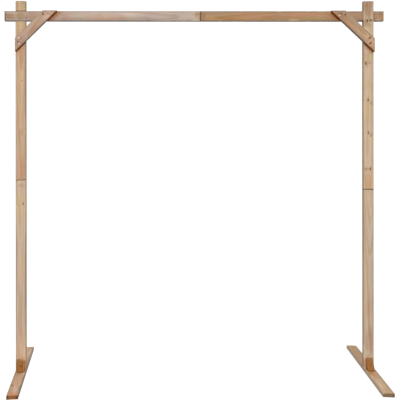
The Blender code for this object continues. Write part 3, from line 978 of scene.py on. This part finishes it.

# "face" is where knots, patches and marks lie, see onFace.
# "tones" are pale, warm and cool, then the shares of the warm and the cool one.
# "ends" are bands at the low or high end: width, wobble, colour and strength.
# "seams" run beside another board: a point, the way out, width, colour and strength.
# side shading is painted shade or light, given to the side that faces one way. Left and right are as seen
# from the front
toLeft, toRight, toSky, toGround = (-1.0, 0.0, 0.0), (1.0, 0.0, 0.0), (0.0, 0.0, 1.0), (0.0, 0.0, -1.0)
beamBoard = {
    "face": frontFace, "fibreContrast": 0.17, "soilAndShadeStrength": 0.75, "soilAndShadeReach": 0.0085, "endGrain": paleEnd,
}
cornerBrace = {
    "face": braceFace, "ringWidth": 0.0040, "fibreContrast": 0.20, "soilAndShadeStrength": 0.5, "endGrain": paleEnd,
}
footBoard = {"face": footFace, "fibreContrast": 0.20, "soilAndShadeStrength": 0.6}
palePost = {
    "face": frontFace, "tones": ((209, 178, 143), (209, 175, 126), (200, 166, 145), 0.85, 0.7),
    "pith": (0.006, 0.055), "ringWidth": 0.0042, "tilt": 0.012, "ringContrast": 0.64, "fibreContrast": 0.18,
    "soil": (150, 131, 112), "soilAndShadeStrength": 0.45, "endGrain": paleEnd,
}
boardLooks = {
    "leftPostUpper": {
        **palePost, "seed": 3,
        "knots": [(-918, 1559, 2.2)],
        "patches": [
            (-944, 1660, 10, 60, (202, 164, 141), 0.7),
            (-919, 1672, 14, 25, (194, 166, 124), 0.6),
            (-928, 1258, 8, 45, (207, 163, 144), 0.75),
            (-946, 1250, 7, 45, (193, 176, 136), 0.6),
            (-922, 1085, 22, 75, (206, 162, 132), 0.75),
            (-920, 1960, 14, 30, (190, 168, 124), 0.7),
            (-942, 1960, 10, 30, (196, 152, 118), 0.6),
            (-924, 1800, 30, 60, (196, 164, 130), 0.6),
            (-920, 1285, 12, 20, (186, 152, 118), 0.6),
        ],
        "seams": [
            # painted shadow under the brace
            *braceShadowSeams("left", "post"),
            ((-0.9238, frontFace, 1.928), toSky, 0.0045, (140, 100, 76), 0.7),
            ((-0.9238, frontFace, 1.876), toGround, 0.0060, (172, 132, 98), 0.5),
        ],
        # painted shade on the inner side
        "sideShading": [(toRight, (140, 116, 98), 0.4)],
        "marks": [
            # painted shade along the inner arris
            (-899.2, 1620, 3.4, 6, 420, (146, 122, 104), 0.8),
            (-921.5, 1032.5, 6, 6, 5, (204, 166, 138), 0.7),
            (-905, 1033.5, 8, 6, 4, (150, 116, 90), 0.6),
            (-908, 1974, 10, 6, 10, (154, 140, 116), 0.6),
            # painted shade along the inner arris of the stub
            (-899, 1955, 3.4, 6, 40, (140, 118, 104), 0.8),
        ],
        "ends": {"low": (0.0040, 0.012, (142, 104, 78), 0.8), "high": (0.0042, 0.003, (150, 124, 98), 0.7)},
    },
    "leftPostLower": {
        **palePost, "seed": 11, "pith": (-0.004, 0.060),
        "tones": ((214, 187, 159), (212, 184, 146), (206, 177, 160), 0.7, 0.7),
        "knots": [(-911.2, 904, 3.4)],
        "patches": [
            (-925, 900, 24, 85, (219, 193, 152), 0.75),
            (-925, 330, 24, 120, (205, 176, 154), 0.6),
            (-920, 200, 18, 45, (211, 170, 144), 0.7),
            (-925, 95, 22, 45, (214, 176, 140), 0.7),
            (-948, 500, 5, 300, (170, 150, 136), 0.7),
            (-920, 1002, 20, 12, (196, 160, 126), 0.6),
            (-911, 120, 14, 34, (228, 192, 160), 0.8),
        ],
        # painted shade on the inner side
        "sideShading": [(toRight, (140, 116, 98), 0.4)],
        "marks": [
            # painted shade along the inner arris
            (-899.2, 500, 3.4, 6, 300, (136, 118, 102), 0.8),
            (-946, 1026.5, 6, 6, 4, (140, 104, 80), 0.7),
            (-947, 46, 5, 8, 34, (132, 98, 66), 0.85),
            (-900, 50, 7, 8, 36, (190, 142, 100), 0.8),
            (-900.5, 80, 8, 8, 16, (210, 174, 142), 0.75),
        ],
        "ends": {"high": (0.0040, 0.012, (158, 120, 92), 0.7), "low": (0.030, 0.02, (188, 132, 88), 0.6)},
    },
    "rightPostUpper": {
        **palePost, "seed": 19, "pith": (-0.008, 0.050),
        "tones": ((212, 186, 156), (209, 182, 140), (202, 178, 158), 0.8, 0.55),
        "knots": [
            (921.8, 1877.7, 4.8), (914.8, 1650.6, 5), (927.1, 1455.9, 4.5), (928, 1281, 4.2),
            (938.4, 1087.4, 5),
        ],
        "patches": [
            (928, 1955, 28, 70, (168, 136, 106), 0.9),
            (919.7, 1960, 7, 10, (168, 118, 88), 0.7),
            (950, 1500, 6, 450, (188, 172, 154), 0.65),
            (935, 1690, 14, 30, (198, 182, 138), 0.7),
            (938, 1654, 12, 12, (188, 150, 134), 0.7),
            (915, 1670, 5, 14, (226, 204, 164), 0.8),
            (918, 1490, 7, 30, (220, 196, 172), 0.7),
            (942, 1440, 8, 14, (170, 144, 118), 0.7),
            (942, 1268, 8, 12, (166, 142, 116), 0.7),
            (916, 1300, 8, 60, (211, 184, 162), 0.6),
            (920, 1087, 18, 7, (176, 146, 116), 0.6),
            (927, 1020, 20, 50, (208, 166, 122), 0.8),
            (910, 1866, 19, 28, (176, 144, 112), 0.85),
            (930, 1855, 12, 16, (178, 152, 120), 0.7),
            (908, 1420, 9, 75, (224, 200, 172), 0.7),
            (907, 1645, 6, 14, (222, 196, 160), 0.7),
            (917, 1086, 10, 12, (180, 148, 114), 0.7),
        ],
        "marks": [
            (940, 1880, 11, 4, 8, (116, 88, 60), 0.85),
            (922.4, 1879, 3.4, 4, 6.2, (66, 42, 20), 0.95),
            (898.5, 1955, 3.6, 6, 50, (130, 108, 92), 0.7),
        ],
        # painted shadow under the brace
        "seams": braceShadowSeams("right", "post"),
        "ends": {"low": (0.0018, 0.001, (96, 66, 44), 0.9), "high": (0.0060, 0.003, (128, 108, 88), 0.7)},
    },
    "rightPostLower": {
        **palePost, "seed": 27, "pith": (0.010, 0.058),
        "tones": ((209, 184, 158), (206, 178, 144), (198, 172, 158), 0.7, 0.7),
        "patches": [
            (926, 930, 24, 50, (207, 184, 156), 0.8),
            (940, 860, 6, 30, (224, 200, 162), 0.8),
            (942, 670, 6, 10, (220, 196, 168), 0.7),
            (924, 340, 12, 55, (202, 160, 130), 0.7),
            (930, 160, 24, 90, (186, 152, 134), 0.6),
            (918, 105, 14, 22, (205, 190, 158), 0.8),
            (910, 50, 10, 30, (196, 146, 114), 0.8),
            (950, 520, 6, 450, (184, 170, 154), 0.7),
            (930, 680, 12, 22, (204, 184, 166), 0.6),
        ],
        "marks": [(903, 115, 7.5, 6, 45, (222, 190, 164), 0.85)],
        "ends": {"high": (0.0052, 0.001, (92, 58, 32), 0.95)},
    },
    "beamLeft": {
        **beamBoard, "seed": 35, "pith": (0.004, -0.060), "ringWidth": 0.0046, "tilt": 0.010,
        "ringContrast": 0.56, "soil": (138, 122, 110),
        "tones": ((193, 174, 160), (188, 160, 140), (184, 169, 161), 0.7, 0.7),
        "patches": [
            (-985, 1900, 18, 35, (165, 125, 97), 0.85),
            (-924, 1903, 26, 26, (169, 140, 100), 0.9),
            (-893.2, 1894.4, 10, 12, (158, 130, 126), 0.85),
            (-860, 1903, 24, 48, (174, 140, 118), 0.8),
            (-695, 1898, 18, 40, (190, 150, 124), 0.6),
            (-460, 1893, 13, 120, (196, 162, 136), 0.7),
            (-330, 1912, 10, 70, (206, 188, 172), 0.7),
            (18, 1900, 20, 22, (190, 154, 114), 0.7),
            (15, 1914, 10, 14, (152, 126, 94), 0.6),
        ],
        # painted shadow under the brace
        "seams": braceShadowSeams("left", "beam"),
        "marks": [
            (-520, 1876.5, 5, 8, 130, (148, 130, 116), 0.6),
            (-100, 1877.5, 6, 12, 140, (196, 180, 164), 0.6),
            (10, 1879, 8, 12, 30, (204, 186, 164), 0.75),
        ],
        # painted shade on the underside
        "sideShading": [(toGround, (106, 88, 74), 0.85)],
        "ends": {"high": (0.0040, 0.002, (140, 108, 84), 0.7), "low": (0.0085, 0.006, (112, 94, 80), 0.85)},
    },
    "beamRight": {
        **beamBoard, "seed": 43, "pith": (-0.006, -0.055), "ringWidth": 0.0044, "tilt": -0.011,
        "ringContrast": 0.58, "soil": (128, 106, 84),
        "tones": ((175, 141, 105), (178, 136, 93), (166, 140, 117), 0.8, 0.55),
        "patches": [
            (120, 1919, 8, 140, (160, 138, 116), 0.7),
            (160, 1893, 8, 160, (186, 138, 88), 0.7),
            (320, 1906, 10, 100, (188, 136, 98), 0.7),
            (580, 1908, 10, 130, (202, 144, 118), 0.75),
            (630, 1887, 9, 110, (178, 154, 104), 0.75),
            (930, 1902, 26, 100, (168, 135, 111), 0.6),
            (995, 1902, 18, 22, (180, 132, 92), 0.7),
            (43, 1902, 26, 18, (150, 120, 80), 0.65),
        ],
        "marks": [
            (895, 1878, 4, 12, 16, (84, 60, 38), 0.7),
            (470, 1878, 4.5, 5, 330, (158, 132, 102), 0.6),
            (722, 1917, 6, 12, 12, (184, 148, 120), 0.75),
            (984, 1884, 6, 12, 12, (190, 166, 146), 0.75),
            (996.6, 1913, 9, 12, 14, (150, 118, 90), 0.75),
            (527, 1882, 6, 12, 30, (204, 176, 138), 0.7),
        ],
        # a greyer tone on the underside
        "sideShading": [(toGround, (172, 146, 116), 0.75)],
        "seams": [
            # painted shadow under the brace
            *braceShadowSeams("right", "beam"),
            ((0.9562, frontFace, 1.902), toRight, 0.0070, (128, 92, 70), 0.6),
            ((0.9016, frontFace, 1.902), toLeft, 0.0050, (128, 92, 70), 0.5),
        ],
        "ends": {"low": (0.0052, 0.001, (84, 58, 36), 0.95), "high": (0.0030, 0.002, (140, 110, 86), 0.5)},
    },
    "leftCornerBrace": {
        **cornerBrace, "seed": 51, "pith": (0.010, 0.048), "tilt": 0.02, "ringContrast": 0.62,
        "tones": ((190, 160, 138), (186, 155, 127), (187, 153, 138), 0.6, 0.6), "soil": (150, 130, 112),
        "patches": [
            (-825, 1895, 12, 50, (176, 158, 130), 0.7),
            (-835, 1850, 8, 80, (190, 148, 130), 0.7),
            (-783, 1903, 20, 36, (208, 172, 152), 0.75),
            (-925, 1760, 20, 40, (172, 134, 108), 0.6),
        ],
        # painted shade on the lower edge
        "sideShading": [(underBrace("left", 1.9)[1], *underSideShade)],
        "seams": [((-0.8000, braceFace, 1.9272), toGround, 0.0075, (146, 124, 112), 0.7)],
        "marks": [
            # painted shade and warm bounce on the lower edge
            *underShadeMarks("left"),
            (-929.7, 1783.4, 6.5, 4, 6.5, (232, 208, 182), 0.85),
            (-780, 1903, 10, 4, 10, (216, 182, 162), 0.65),
            (-928.1, 1751.7, 4.5, 4, 4.5, (226, 200, 172), 0.8),
            (-802.2, 1905.9, 6, 4, 6, (150, 100, 84), 0.6),
        ],
    },
    "rightCornerBrace": {
        **cornerBrace, "seed": 59, "pith": (-0.008, 0.050), "tilt": -0.02, "ringContrast": 0.64,
        "tones": ((180, 148, 119), (184, 142, 107), (169, 147, 125), 0.6, 0.55), "soil": (146, 126, 106),
        "patches": [
            (860, 1865, 10, 50, (178, 160, 142), 0.8),
            (815, 1858, 10, 50, (198, 148, 112), 0.7),
            (890, 1905, 20, 60, (184, 144, 106), 0.7),
            (885, 1810, 12, 60, (192, 154, 120), 0.6),
            (938, 1755, 14, 25, (196, 158, 112), 0.6),
            (919, 1750, 14, 22, (208, 166, 130), 0.75),
            (924, 1772, 24, 44, (210, 172, 140), 0.9),
        ],
        # painted shade on the lower edge
        "sideShading": [(underBrace("right", 1.9)[1], *underSideShade)],
        "seams": [((0.8000, braceFace, 1.9272), toGround, 0.0095, (144, 118, 100), 0.55)],
        "marks": [
            # painted shade and warm bounce on the lower edge
            *underShadeMarks("right"),
            (766, 1901.8, 7, 4, 5, (234, 194, 156), 0.9),
            (797.7, 1903.9, 5.5, 4, 5.5, (96, 66, 46), 0.8),
            (928.3, 1780.2, 4, 4, 4, (160, 120, 90), 0.5),
        ],
    },
    "leftFootBoard": {
        **footBoard, "seed": 67, "pith": (0.006, 0.052), "ringWidth": 0.0040, "tilt": 0.014,
        "ringContrast": 0.64, "soil": (132, 114, 96), "soilAndShadeReach": 0.0085, "endGrain": darkEnd,
        "tones": ((198, 166, 136), (194, 156, 122), (182, 158, 138), 0.7, 0.6),
        # painted shade on the right side, and a greyer left side
        "sideShading": [(toRight, (122, 102, 82), 0.5), (toLeft, (178, 154, 126), 0.55)],
        "knots": [(-925, -196.5, 4.5)],
        "marks": [
            ((-0.9210, footFront, 0.0095), (0.010, 0.016, 0.006), (76, 48, 32), 0.8),
            ((-0.8740, footFront, 0.0095), (0.010, 0.016, 0.006), (84, 52, 26), 0.8),
            ((-0.8975, footFront, 0.0195), (0.030, 0.004, 0.007), (158, 106, 66), 0.8),
            (-901, -67.5, 9, 10, 18, (208, 176, 148), 0.75),
        ],
        "patches": [
            (-880, -218, 9, 35, (134, 140, 96), 0.8),
            (-899, -285, 30, 22, (206, 148, 110), 0.85),
            (-915, -90, 20, 50, (204, 160, 122), 0.6),
            # painted light where the post's shadow falls
            (-955, 200, 34, 110, (234, 206, 176), 0.85),
            (-906, -170, 16, 110, (214, 178, 152), 0.6),
        ],
    },
    "rightFootBoard": {
        **footBoard, "seed": 75, "pith": (-0.006, 0.050), "ringWidth": 0.0042, "tilt": -0.012,
        "ringContrast": 0.66, "soil": (128, 112, 92),
        "tones": ((194, 160, 126), (198, 156, 114), (180, 158, 132), 0.7, 0.5),
        # painted shade on the right side, and painted light on the shaded left side
        "sideShading": [(toRight, (122, 102, 82), 0.5), (toLeft, (222, 196, 166), 0.85)],
        "endGrain": ((150, 122, 88), (126, 102, 70), (98, 78, 54)),
        "knots": [(954.5, 231, 2.2)],
        "marks": [
            ((0.8840, footFront, 0.0095), (0.006, 0.016, 0.006), (92, 70, 56), 0.7),
            ((0.9340, -0.2955, 0.0095), (0.008, 0.016, 0.008), (98, 78, 62), 0.7),
            ((0.8980, footFront, 0.0060), (0.010, 0.006, 0.010), (108, 90, 66), 0.5),
            ((0.9090, -0.2950, 0.0195), (0.030, 0.004, 0.006), (152, 122, 84), 0.7),
            (962, 2, 7, 6, 380, (158, 138, 118), 0.65),
            # painted light where shade gathers beside the block
            (911, -46, 9, 10, 28, (206, 178, 138), 0.8),
            (908, -112, 10, 10, 24, (214, 184, 142), 0.75),
            # painted light on the shaded left side near the front
            ((0.8870, -0.2620, 0.0170), (0.008, 0.008, 0.035), (206, 178, 146), 0.7),
        ],
        "patches": [
            (963, 200, 30, 110, (188, 156, 108), 0.75),
            (954, 231, 9, 15, (224, 164, 104), 0.9),
            (909, -175, 26, 85, (216, 190, 160), 0.75),
            (946, 90, 18, 50, (204, 150, 110), 0.8),
            (930, -90, 16, 40, (204, 160, 116), 0.7),
            (910, -270, 22, 25, (196, 166, 132), 0.6),
        ],
    },
}
for look in boardLooks.values():
    for kind in ("knots", "patches", "marks"):
        look[kind] = onFace(look["face"], look.get(kind, ()))

# each board: its side, CAD node, slot, place, width and length, the board that crosses it, and its screws
boardPlan = []
for side in sides:
    upper, lower, spliceScrews = side + "_post_upper", side + "_post_lower", side + "PostSpliceScrews"
    boardPlan.append((side, upper, "pale_pine", uprightPlace(upper), "beam_" + side,
                      (side + "BraceScrews", spliceScrews)))
    boardPlan.append((side, lower, "pale_pine", uprightPlace(lower), None,
                      (spliceScrews, side + "FootScrews", side + "FrontBlockScrew", side + "RearBlockScrew")))
for side in sides:
    boardPlan.append((side, "beam_" + side, "beam_pine", beamPlace("beam_" + side), side + "_post_upper",
                      (side + "BraceScrews", "beamSpliceScrews")))
for side in sides:
    boardPlan.append((side, side + "_foot_board", "foot_pine", footPlace(side), None, (side + "FootScrews",)))
for side in sides:
    boardPlan.append((side, side + "_corner_brace", "pale_pine", bracePlace(side), None,
                      (side + "BraceScrews",)))

for side, node, slot, (place, width, length), crossing, drillNames in boardPlan:
    low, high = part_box(node)
    notch = None
    if crossing:
        # at the left the post is halved in front and the beam behind, at the right the other way round;
        # the beam's own y points forward, so one sign serves both
        crossLow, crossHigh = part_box(crossing)
        centre = place.inverted() @ ((crossLow + crossHigh) / 2)
        crossWidth = min(crossHigh.x - crossLow.x, crossHigh.z - crossLow.z)
        notch = (centre.z, crossWidth + 2 * fitGap, outward[side])
    cuts = ()
    if "brace" in node:
        outside = high.x if side == "right" else low.x
        cuts = (((outside, 0, 0), (outward[side], 0, 0)), ((0, 0, high.z), (0, 0, 1)))
    name = pieceName(node)
    makeBoard(name, node, slot, place, width, length, boardLooks[name], notch, cuts, drillNames)
print("boards:", len(boardPlan))


# Wedge blocks with their end grain to the front

blockShape = {"lowRound": 0.010, "topRound": 0.005, "nose": 0.005, "ease": 0.0012, "cornerSteps": 6}
blockLook = {
    "tones": ((172, 116, 62), (160, 98, 44), (142, 96, 56), 0.7, 0.5),
    "pith": (0.004, 0.046), "ringWidth": 0.0050, "tilt": 0.0, "ringContrast": 0.5, "fibreContrast": 0.12,
    "soil": (112, 74, 38), "soilAndShadeStrength": 0.75,
    "endGrain": ((168, 108, 46), (152, 94, 36), (126, 78, 32)), "roughness": 0.66,
}
# on the end grain in front: spot and reach in metres, colour and strength; some are painted light on the
# rounded top and painted shade along the rims
blockMarks = {
    "leftFrontBlock": [
        # painted light on the top of the rounded end
        ((-0.9200, -0.034, 0.080), (0.018, 0.006, 0.03), (186, 144, 104), 0.7),
        ((-0.9230, -0.036, 0.070), (0.020, 0.006, 0.03), (142, 98, 58), 0.7),
        # painted shadow along the right rim
        ((-0.9095, -0.045, 0.047), (0.0030, 0.020, 0.03), (104, 60, 20), 0.9),
        ((-0.9035, -0.040, 0.050), (0.0030, 0.028, 0.03), (190, 136, 88), 0.8),
        # painted light on the top right
        ((-0.9055, -0.032, 0.078), (0.0050, 0.006, 0.03), (208, 168, 132), 0.8),
        # painted shade on the left rim
        ((-0.9390, -0.045, 0.050), (0.0050, 0.030, 0.03), (136, 94, 54), 0.7),
        # painted shade along the bottom rim
        ((-0.9220, -0.056, 0.022), (0.030, 0.006, 0.03), (122, 80, 34), 0.7),
        ((-0.9220, -0.050, 0.048), (0.0050, 0.0050, 0.03), (112, 66, 22), 0.6),
    ],
    "rightFrontBlock": [
        ((0.9310, -0.045, 0.047), (0.0300, 0.030, 0.03), (150, 100, 42), 0.7),
        ((0.9340, -0.034, 0.078), (0.014, 0.008, 0.03), (146, 114, 78), 0.7),
        ((0.9455, -0.045, 0.055), (0.0075, 0.040, 0.03), (142, 112, 82), 0.8),
        # painted light on the shaded left side
        ((0.9131, -0.045, 0.045), (0.0016, 0.040, 0.03), (190, 132, 76), 0.8),
        # painted shade along the bottom rim
        ((0.9310, -0.056, 0.022), (0.024, 0.006, 0.03), (128, 84, 34), 0.7),
    ],
}
blockSeeds = {"leftFrontBlock": 83, "leftRearBlock": 89, "rightFrontBlock": 97, "rightRearBlock": 101}


def blockMesh(name, width, height, depth):
    # x across, y up and z outwards from the post, from the middle of the box
    nose = blockShape["nose"]
    outline = []
    corners = ((1, -1, "lowRound", -90), (1, 1, "topRound", 0), (-1, 1, "topRound", 90),
               (-1, -1, "lowRound", 180))
    for across, up, kind, start in corners:
        radius = blockShape[kind]
        for step in range(blockShape["cornerSteps"] + 1):
            angle = math.radians(start + 90 * step / blockShape["cornerSteps"])
            outline.append((across * (width / 2 - radius) + radius * math.cos(angle),
                            up * (height / 2 - radius) + radius * math.sin(angle)))
    shape = bmesh.new()
    loftSolid(shape, [[(x, y, z) for x, y in outline] for z in (-depth / 2, depth / 2)])
    slopeFoot = Vector((0, -height / 2 + nose, depth / 2))
    slopeHead = Vector((0, height / 2, -depth / 2 + nose))
    slope = slopeHead - slopeFoot
    sawOff(shape, slopeFoot, Vector((0, -slope.z, slope.y)).normalized())
    return storeSolid(shape, bpy.data.meshes.new(name))


for side in sides:
    for end, facing in (("front", -1.0), ("rear", 1.0)):
        name = side + end.capitalize() + "Block"
        node = f"{side}_{end}_foot_block"
        low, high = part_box(node)
        size = high - low
        place = placeFrom((low + high) / 2, (1, 0, 0), (0, 0, -facing), (0, facing, 0))
        mesh = blockMesh(name, size.x, size.z, size.y)
        if end == "rear":
            # the rear block's own y points down, so it is turned to put the slope's foot at the bottom
            mesh.transform(Matrix.Rotation(math.pi, 4, "Z"))
        piece = addPiece(name, mesh)
        look = {**blockLook, "seed": blockSeeds[name], "marks": blockMarks.get(name, ())}
        material = woodMaterial(name + "EndGrain", place, (size.x / 2, size.z / 2, size.y / 2), look)
        easeEdges(piece, blockShape["ease"], 2, 30)
        drillPiece(piece, place, (name + "Screw",))
        finishPiece(piece, material, "end_grain_pine", node)
print("blocks:", len(blockSeeds))


# Splice plates behind the butt joints

plateSize = {"width": 0.030, "corner": 0.004, "holeRadius": 0.0021, "sinkRadius": 0.0038, "ease": 0.0003,
             "holes": (-0.048, -0.018, 0.018, 0.048)}
zincFinish = {"dark": (158, 161, 163), "light": (182, 184, 185), "dull": (128, 128, 126), "dullStrength": 0.5,
              "bump": 0.12, "bumpDepth": 0.0002}


def makeZincMaterial():
    material, tree = startMaterial("zincPlated")
    here = addNode(tree, "ShaderNodeTexCoord").outputs["Object"]
    spangle = addNode(tree, "ShaderNodeTexVoronoi", {"Vector": here, "Scale": 260.0}).outputs["Color"]
    spangle = addNode(tree, "ShaderNodeRGBToBW", {"Color": spangle}).outputs[0]
    spangle = softStep(tree, spangle, 0.2, 0.9)
    colour = mixColour(tree, spangle, srgb(*zincFinish["dark"]), srgb(*zincFinish["light"]))
    rolled = streakNoise(tree, here, (160.0, 160.0, 160.0), 2.0, 4.0)[0]
    dull = softStep(tree, rolled, 0.50, 0.66)
    colour = layOver(tree, colour, srgb(*zincFinish["dull"]), dull, zincFinish["dullStrength"])
    roughness = calc(tree, "MULTIPLY_ADD", dull, 0.22, 0.34)
    values = {"Base Color": colour, "Metallic": 1.0, "Roughness": roughness}
    finishMaterial(tree, values, zincFinish["bump"], zincFinish["bumpDepth"], rolled)
    return material


zincMaterial = makeZincMaterial()
for node in ("left_post_splice_plate", "right_post_splice_plate", "beam_splice_plate"):
    name = pieceName(node)
    low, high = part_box(node)
    centre = (low + high) / 2
    centre.y = low.y
    lying = high.x - low.x > high.z - low.z
    acrossPlate, alongPlate = ((0, 0, 1), (1, 0, 0)) if lying else ((-1, 0, 0), (0, 0, 1))
    place = placeFrom(centre, acrossPlate, alongPlate, (0, 1, 0))
    mesh = bpy.data.meshes.new(name)
    mesh.from_pydata([(0, offset, 0) for offset in plateSize["holes"]], [], [])
    piece = addPiece(name, mesh)
    addTree(piece, plateTree, {
        "Width": plateSize["width"], "Length": max(high.x - low.x, high.z - low.z),
        "Thickness": high.y - low.y, "Corner": plateSize["corner"], "Hole Radius": plateSize["holeRadius"],
        "Sink Radius": plateSize["sinkRadius"], "Material": zincMaterial,
    })
    easeEdges(piece, plateSize["ease"], 2, 40)
    bakeModifiers(piece).transform(place)
    finishPiece(piece, zincMaterial, "zinc_plate", node)
print("plates ready")


# Floor, light and camera

studio = {
    "floorReach": 30.0, "floorGrey": 0.15, "floorGlow": 0.96,
    "skyLow": 0.14, "skyHigh": 0.62, "backdrop": 1.05, "lightTarget": (0, 0, 1.0),
}
studioLights = {
    "keyLight": {"place": (0.05, -8.5, 4.6), "size": 3.2, "power": 526},
    "rearFill": {"place": (1.6, 4.5, 2.8), "size": 3.5, "power": 70},
}
cameraSetup = {
    "place": (-0.252, -2.726, 1.200), "turn": (90, 0.045, -0.31), "lens": 45.68, "shift": (0.1252, -0.1301),
}


def makeFloor():
    mesh = bpy.data.meshes.new("studioFloor")
    reach = studio["floorReach"]
    corners = [(-reach, -reach, 0), (reach, -reach, 0), (reach, reach, 0), (-reach, reach, 0)]
    mesh.from_pydata(corners, [], [(0, 1, 2, 3)])
    floor = addPiece("studioFloor", mesh)
    material = bpy.data.materials.new("palePaper")
    material.use_nodes = True
    shader = material.node_tree.nodes["Principled BSDF"]
    shader.inputs["Base Color"].default_value = (*[studio["floorGrey"]] * 3, 1)
    shader.inputs["Roughness"].default_value = 1.0
    shader.inputs["Specular IOR Level"].default_value = 0.0
    shader.inputs["Emission Color"].default_value = (1, 1, 1, 1)
    shader.inputs["Emission Strength"].default_value = studio["floorGlow"]
    mesh.materials.append(material)
    floor.visible_diffuse = False
    floor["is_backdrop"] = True


def makeWorld():
    # white behind the arch, and soft grey light that is weaker from below
    world = bpy.data.worlds.new("studio")
    world.use_nodes = True
    bpy.context.scene.world = world
    tree = world.node_tree
    tree.nodes.clear()
    height = splitVector(tree, addNode(tree, "ShaderNodeTexCoord").outputs["Generated"])["Z"]
    glow = softStep(tree, height, -0.25, 0.35, studio["skyLow"], studio["skyHigh"])
    seen = addNode(tree, "ShaderNodeLightPath").outputs["Is Camera Ray"]
    strength = calc(tree, "MAXIMUM", glow, calc(tree, "MULTIPLY", seen, studio["backdrop"]))
    values = {"Color": (1, 1, 1, 1), "Strength": strength}
    background = addNode(tree, "ShaderNodeBackground", values).outputs[0]
    addNode(tree, "ShaderNodeOutputWorld", {"Surface": background})


def addAreaLight(name, place, size, power):
    light = bpy.data.lights.new(name, "AREA")
    light.shape = "DISK"
    light.size = size
    light.energy = power
    lamp = bpy.data.objects.new(name, light)
    lamp.location = place
    lamp.rotation_euler = (Vector(studio["lightTarget"]) - Vector(place)).to_track_quat("-Z", "Y").to_euler()
    bpy.context.scene.collection.objects.link(lamp)


def addCamera(place, turn, lens, shift):
    camera = bpy.data.cameras.new("camera")
    camera.sensor_width = 36
    camera.sensor_fit = "HORIZONTAL"
    camera.lens = lens
    camera.shift_x, camera.shift_y = shift
    camera.clip_end = 200
    eye = bpy.data.objects.new("camera", camera)
    eye.location = place
    eye.rotation_euler = [math.radians(angle) for angle in turn]
    bpy.context.scene.collection.objects.link(eye)
    bpy.context.scene.camera = eye


makeFloor()
makeWorld()
for name, values in studioLights.items():
    addAreaLight(name, **values)
addCamera(**cameraSetup)
bpy.context.scene.view_settings.view_transform = "Standard"
print("stage ready")

low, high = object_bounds()
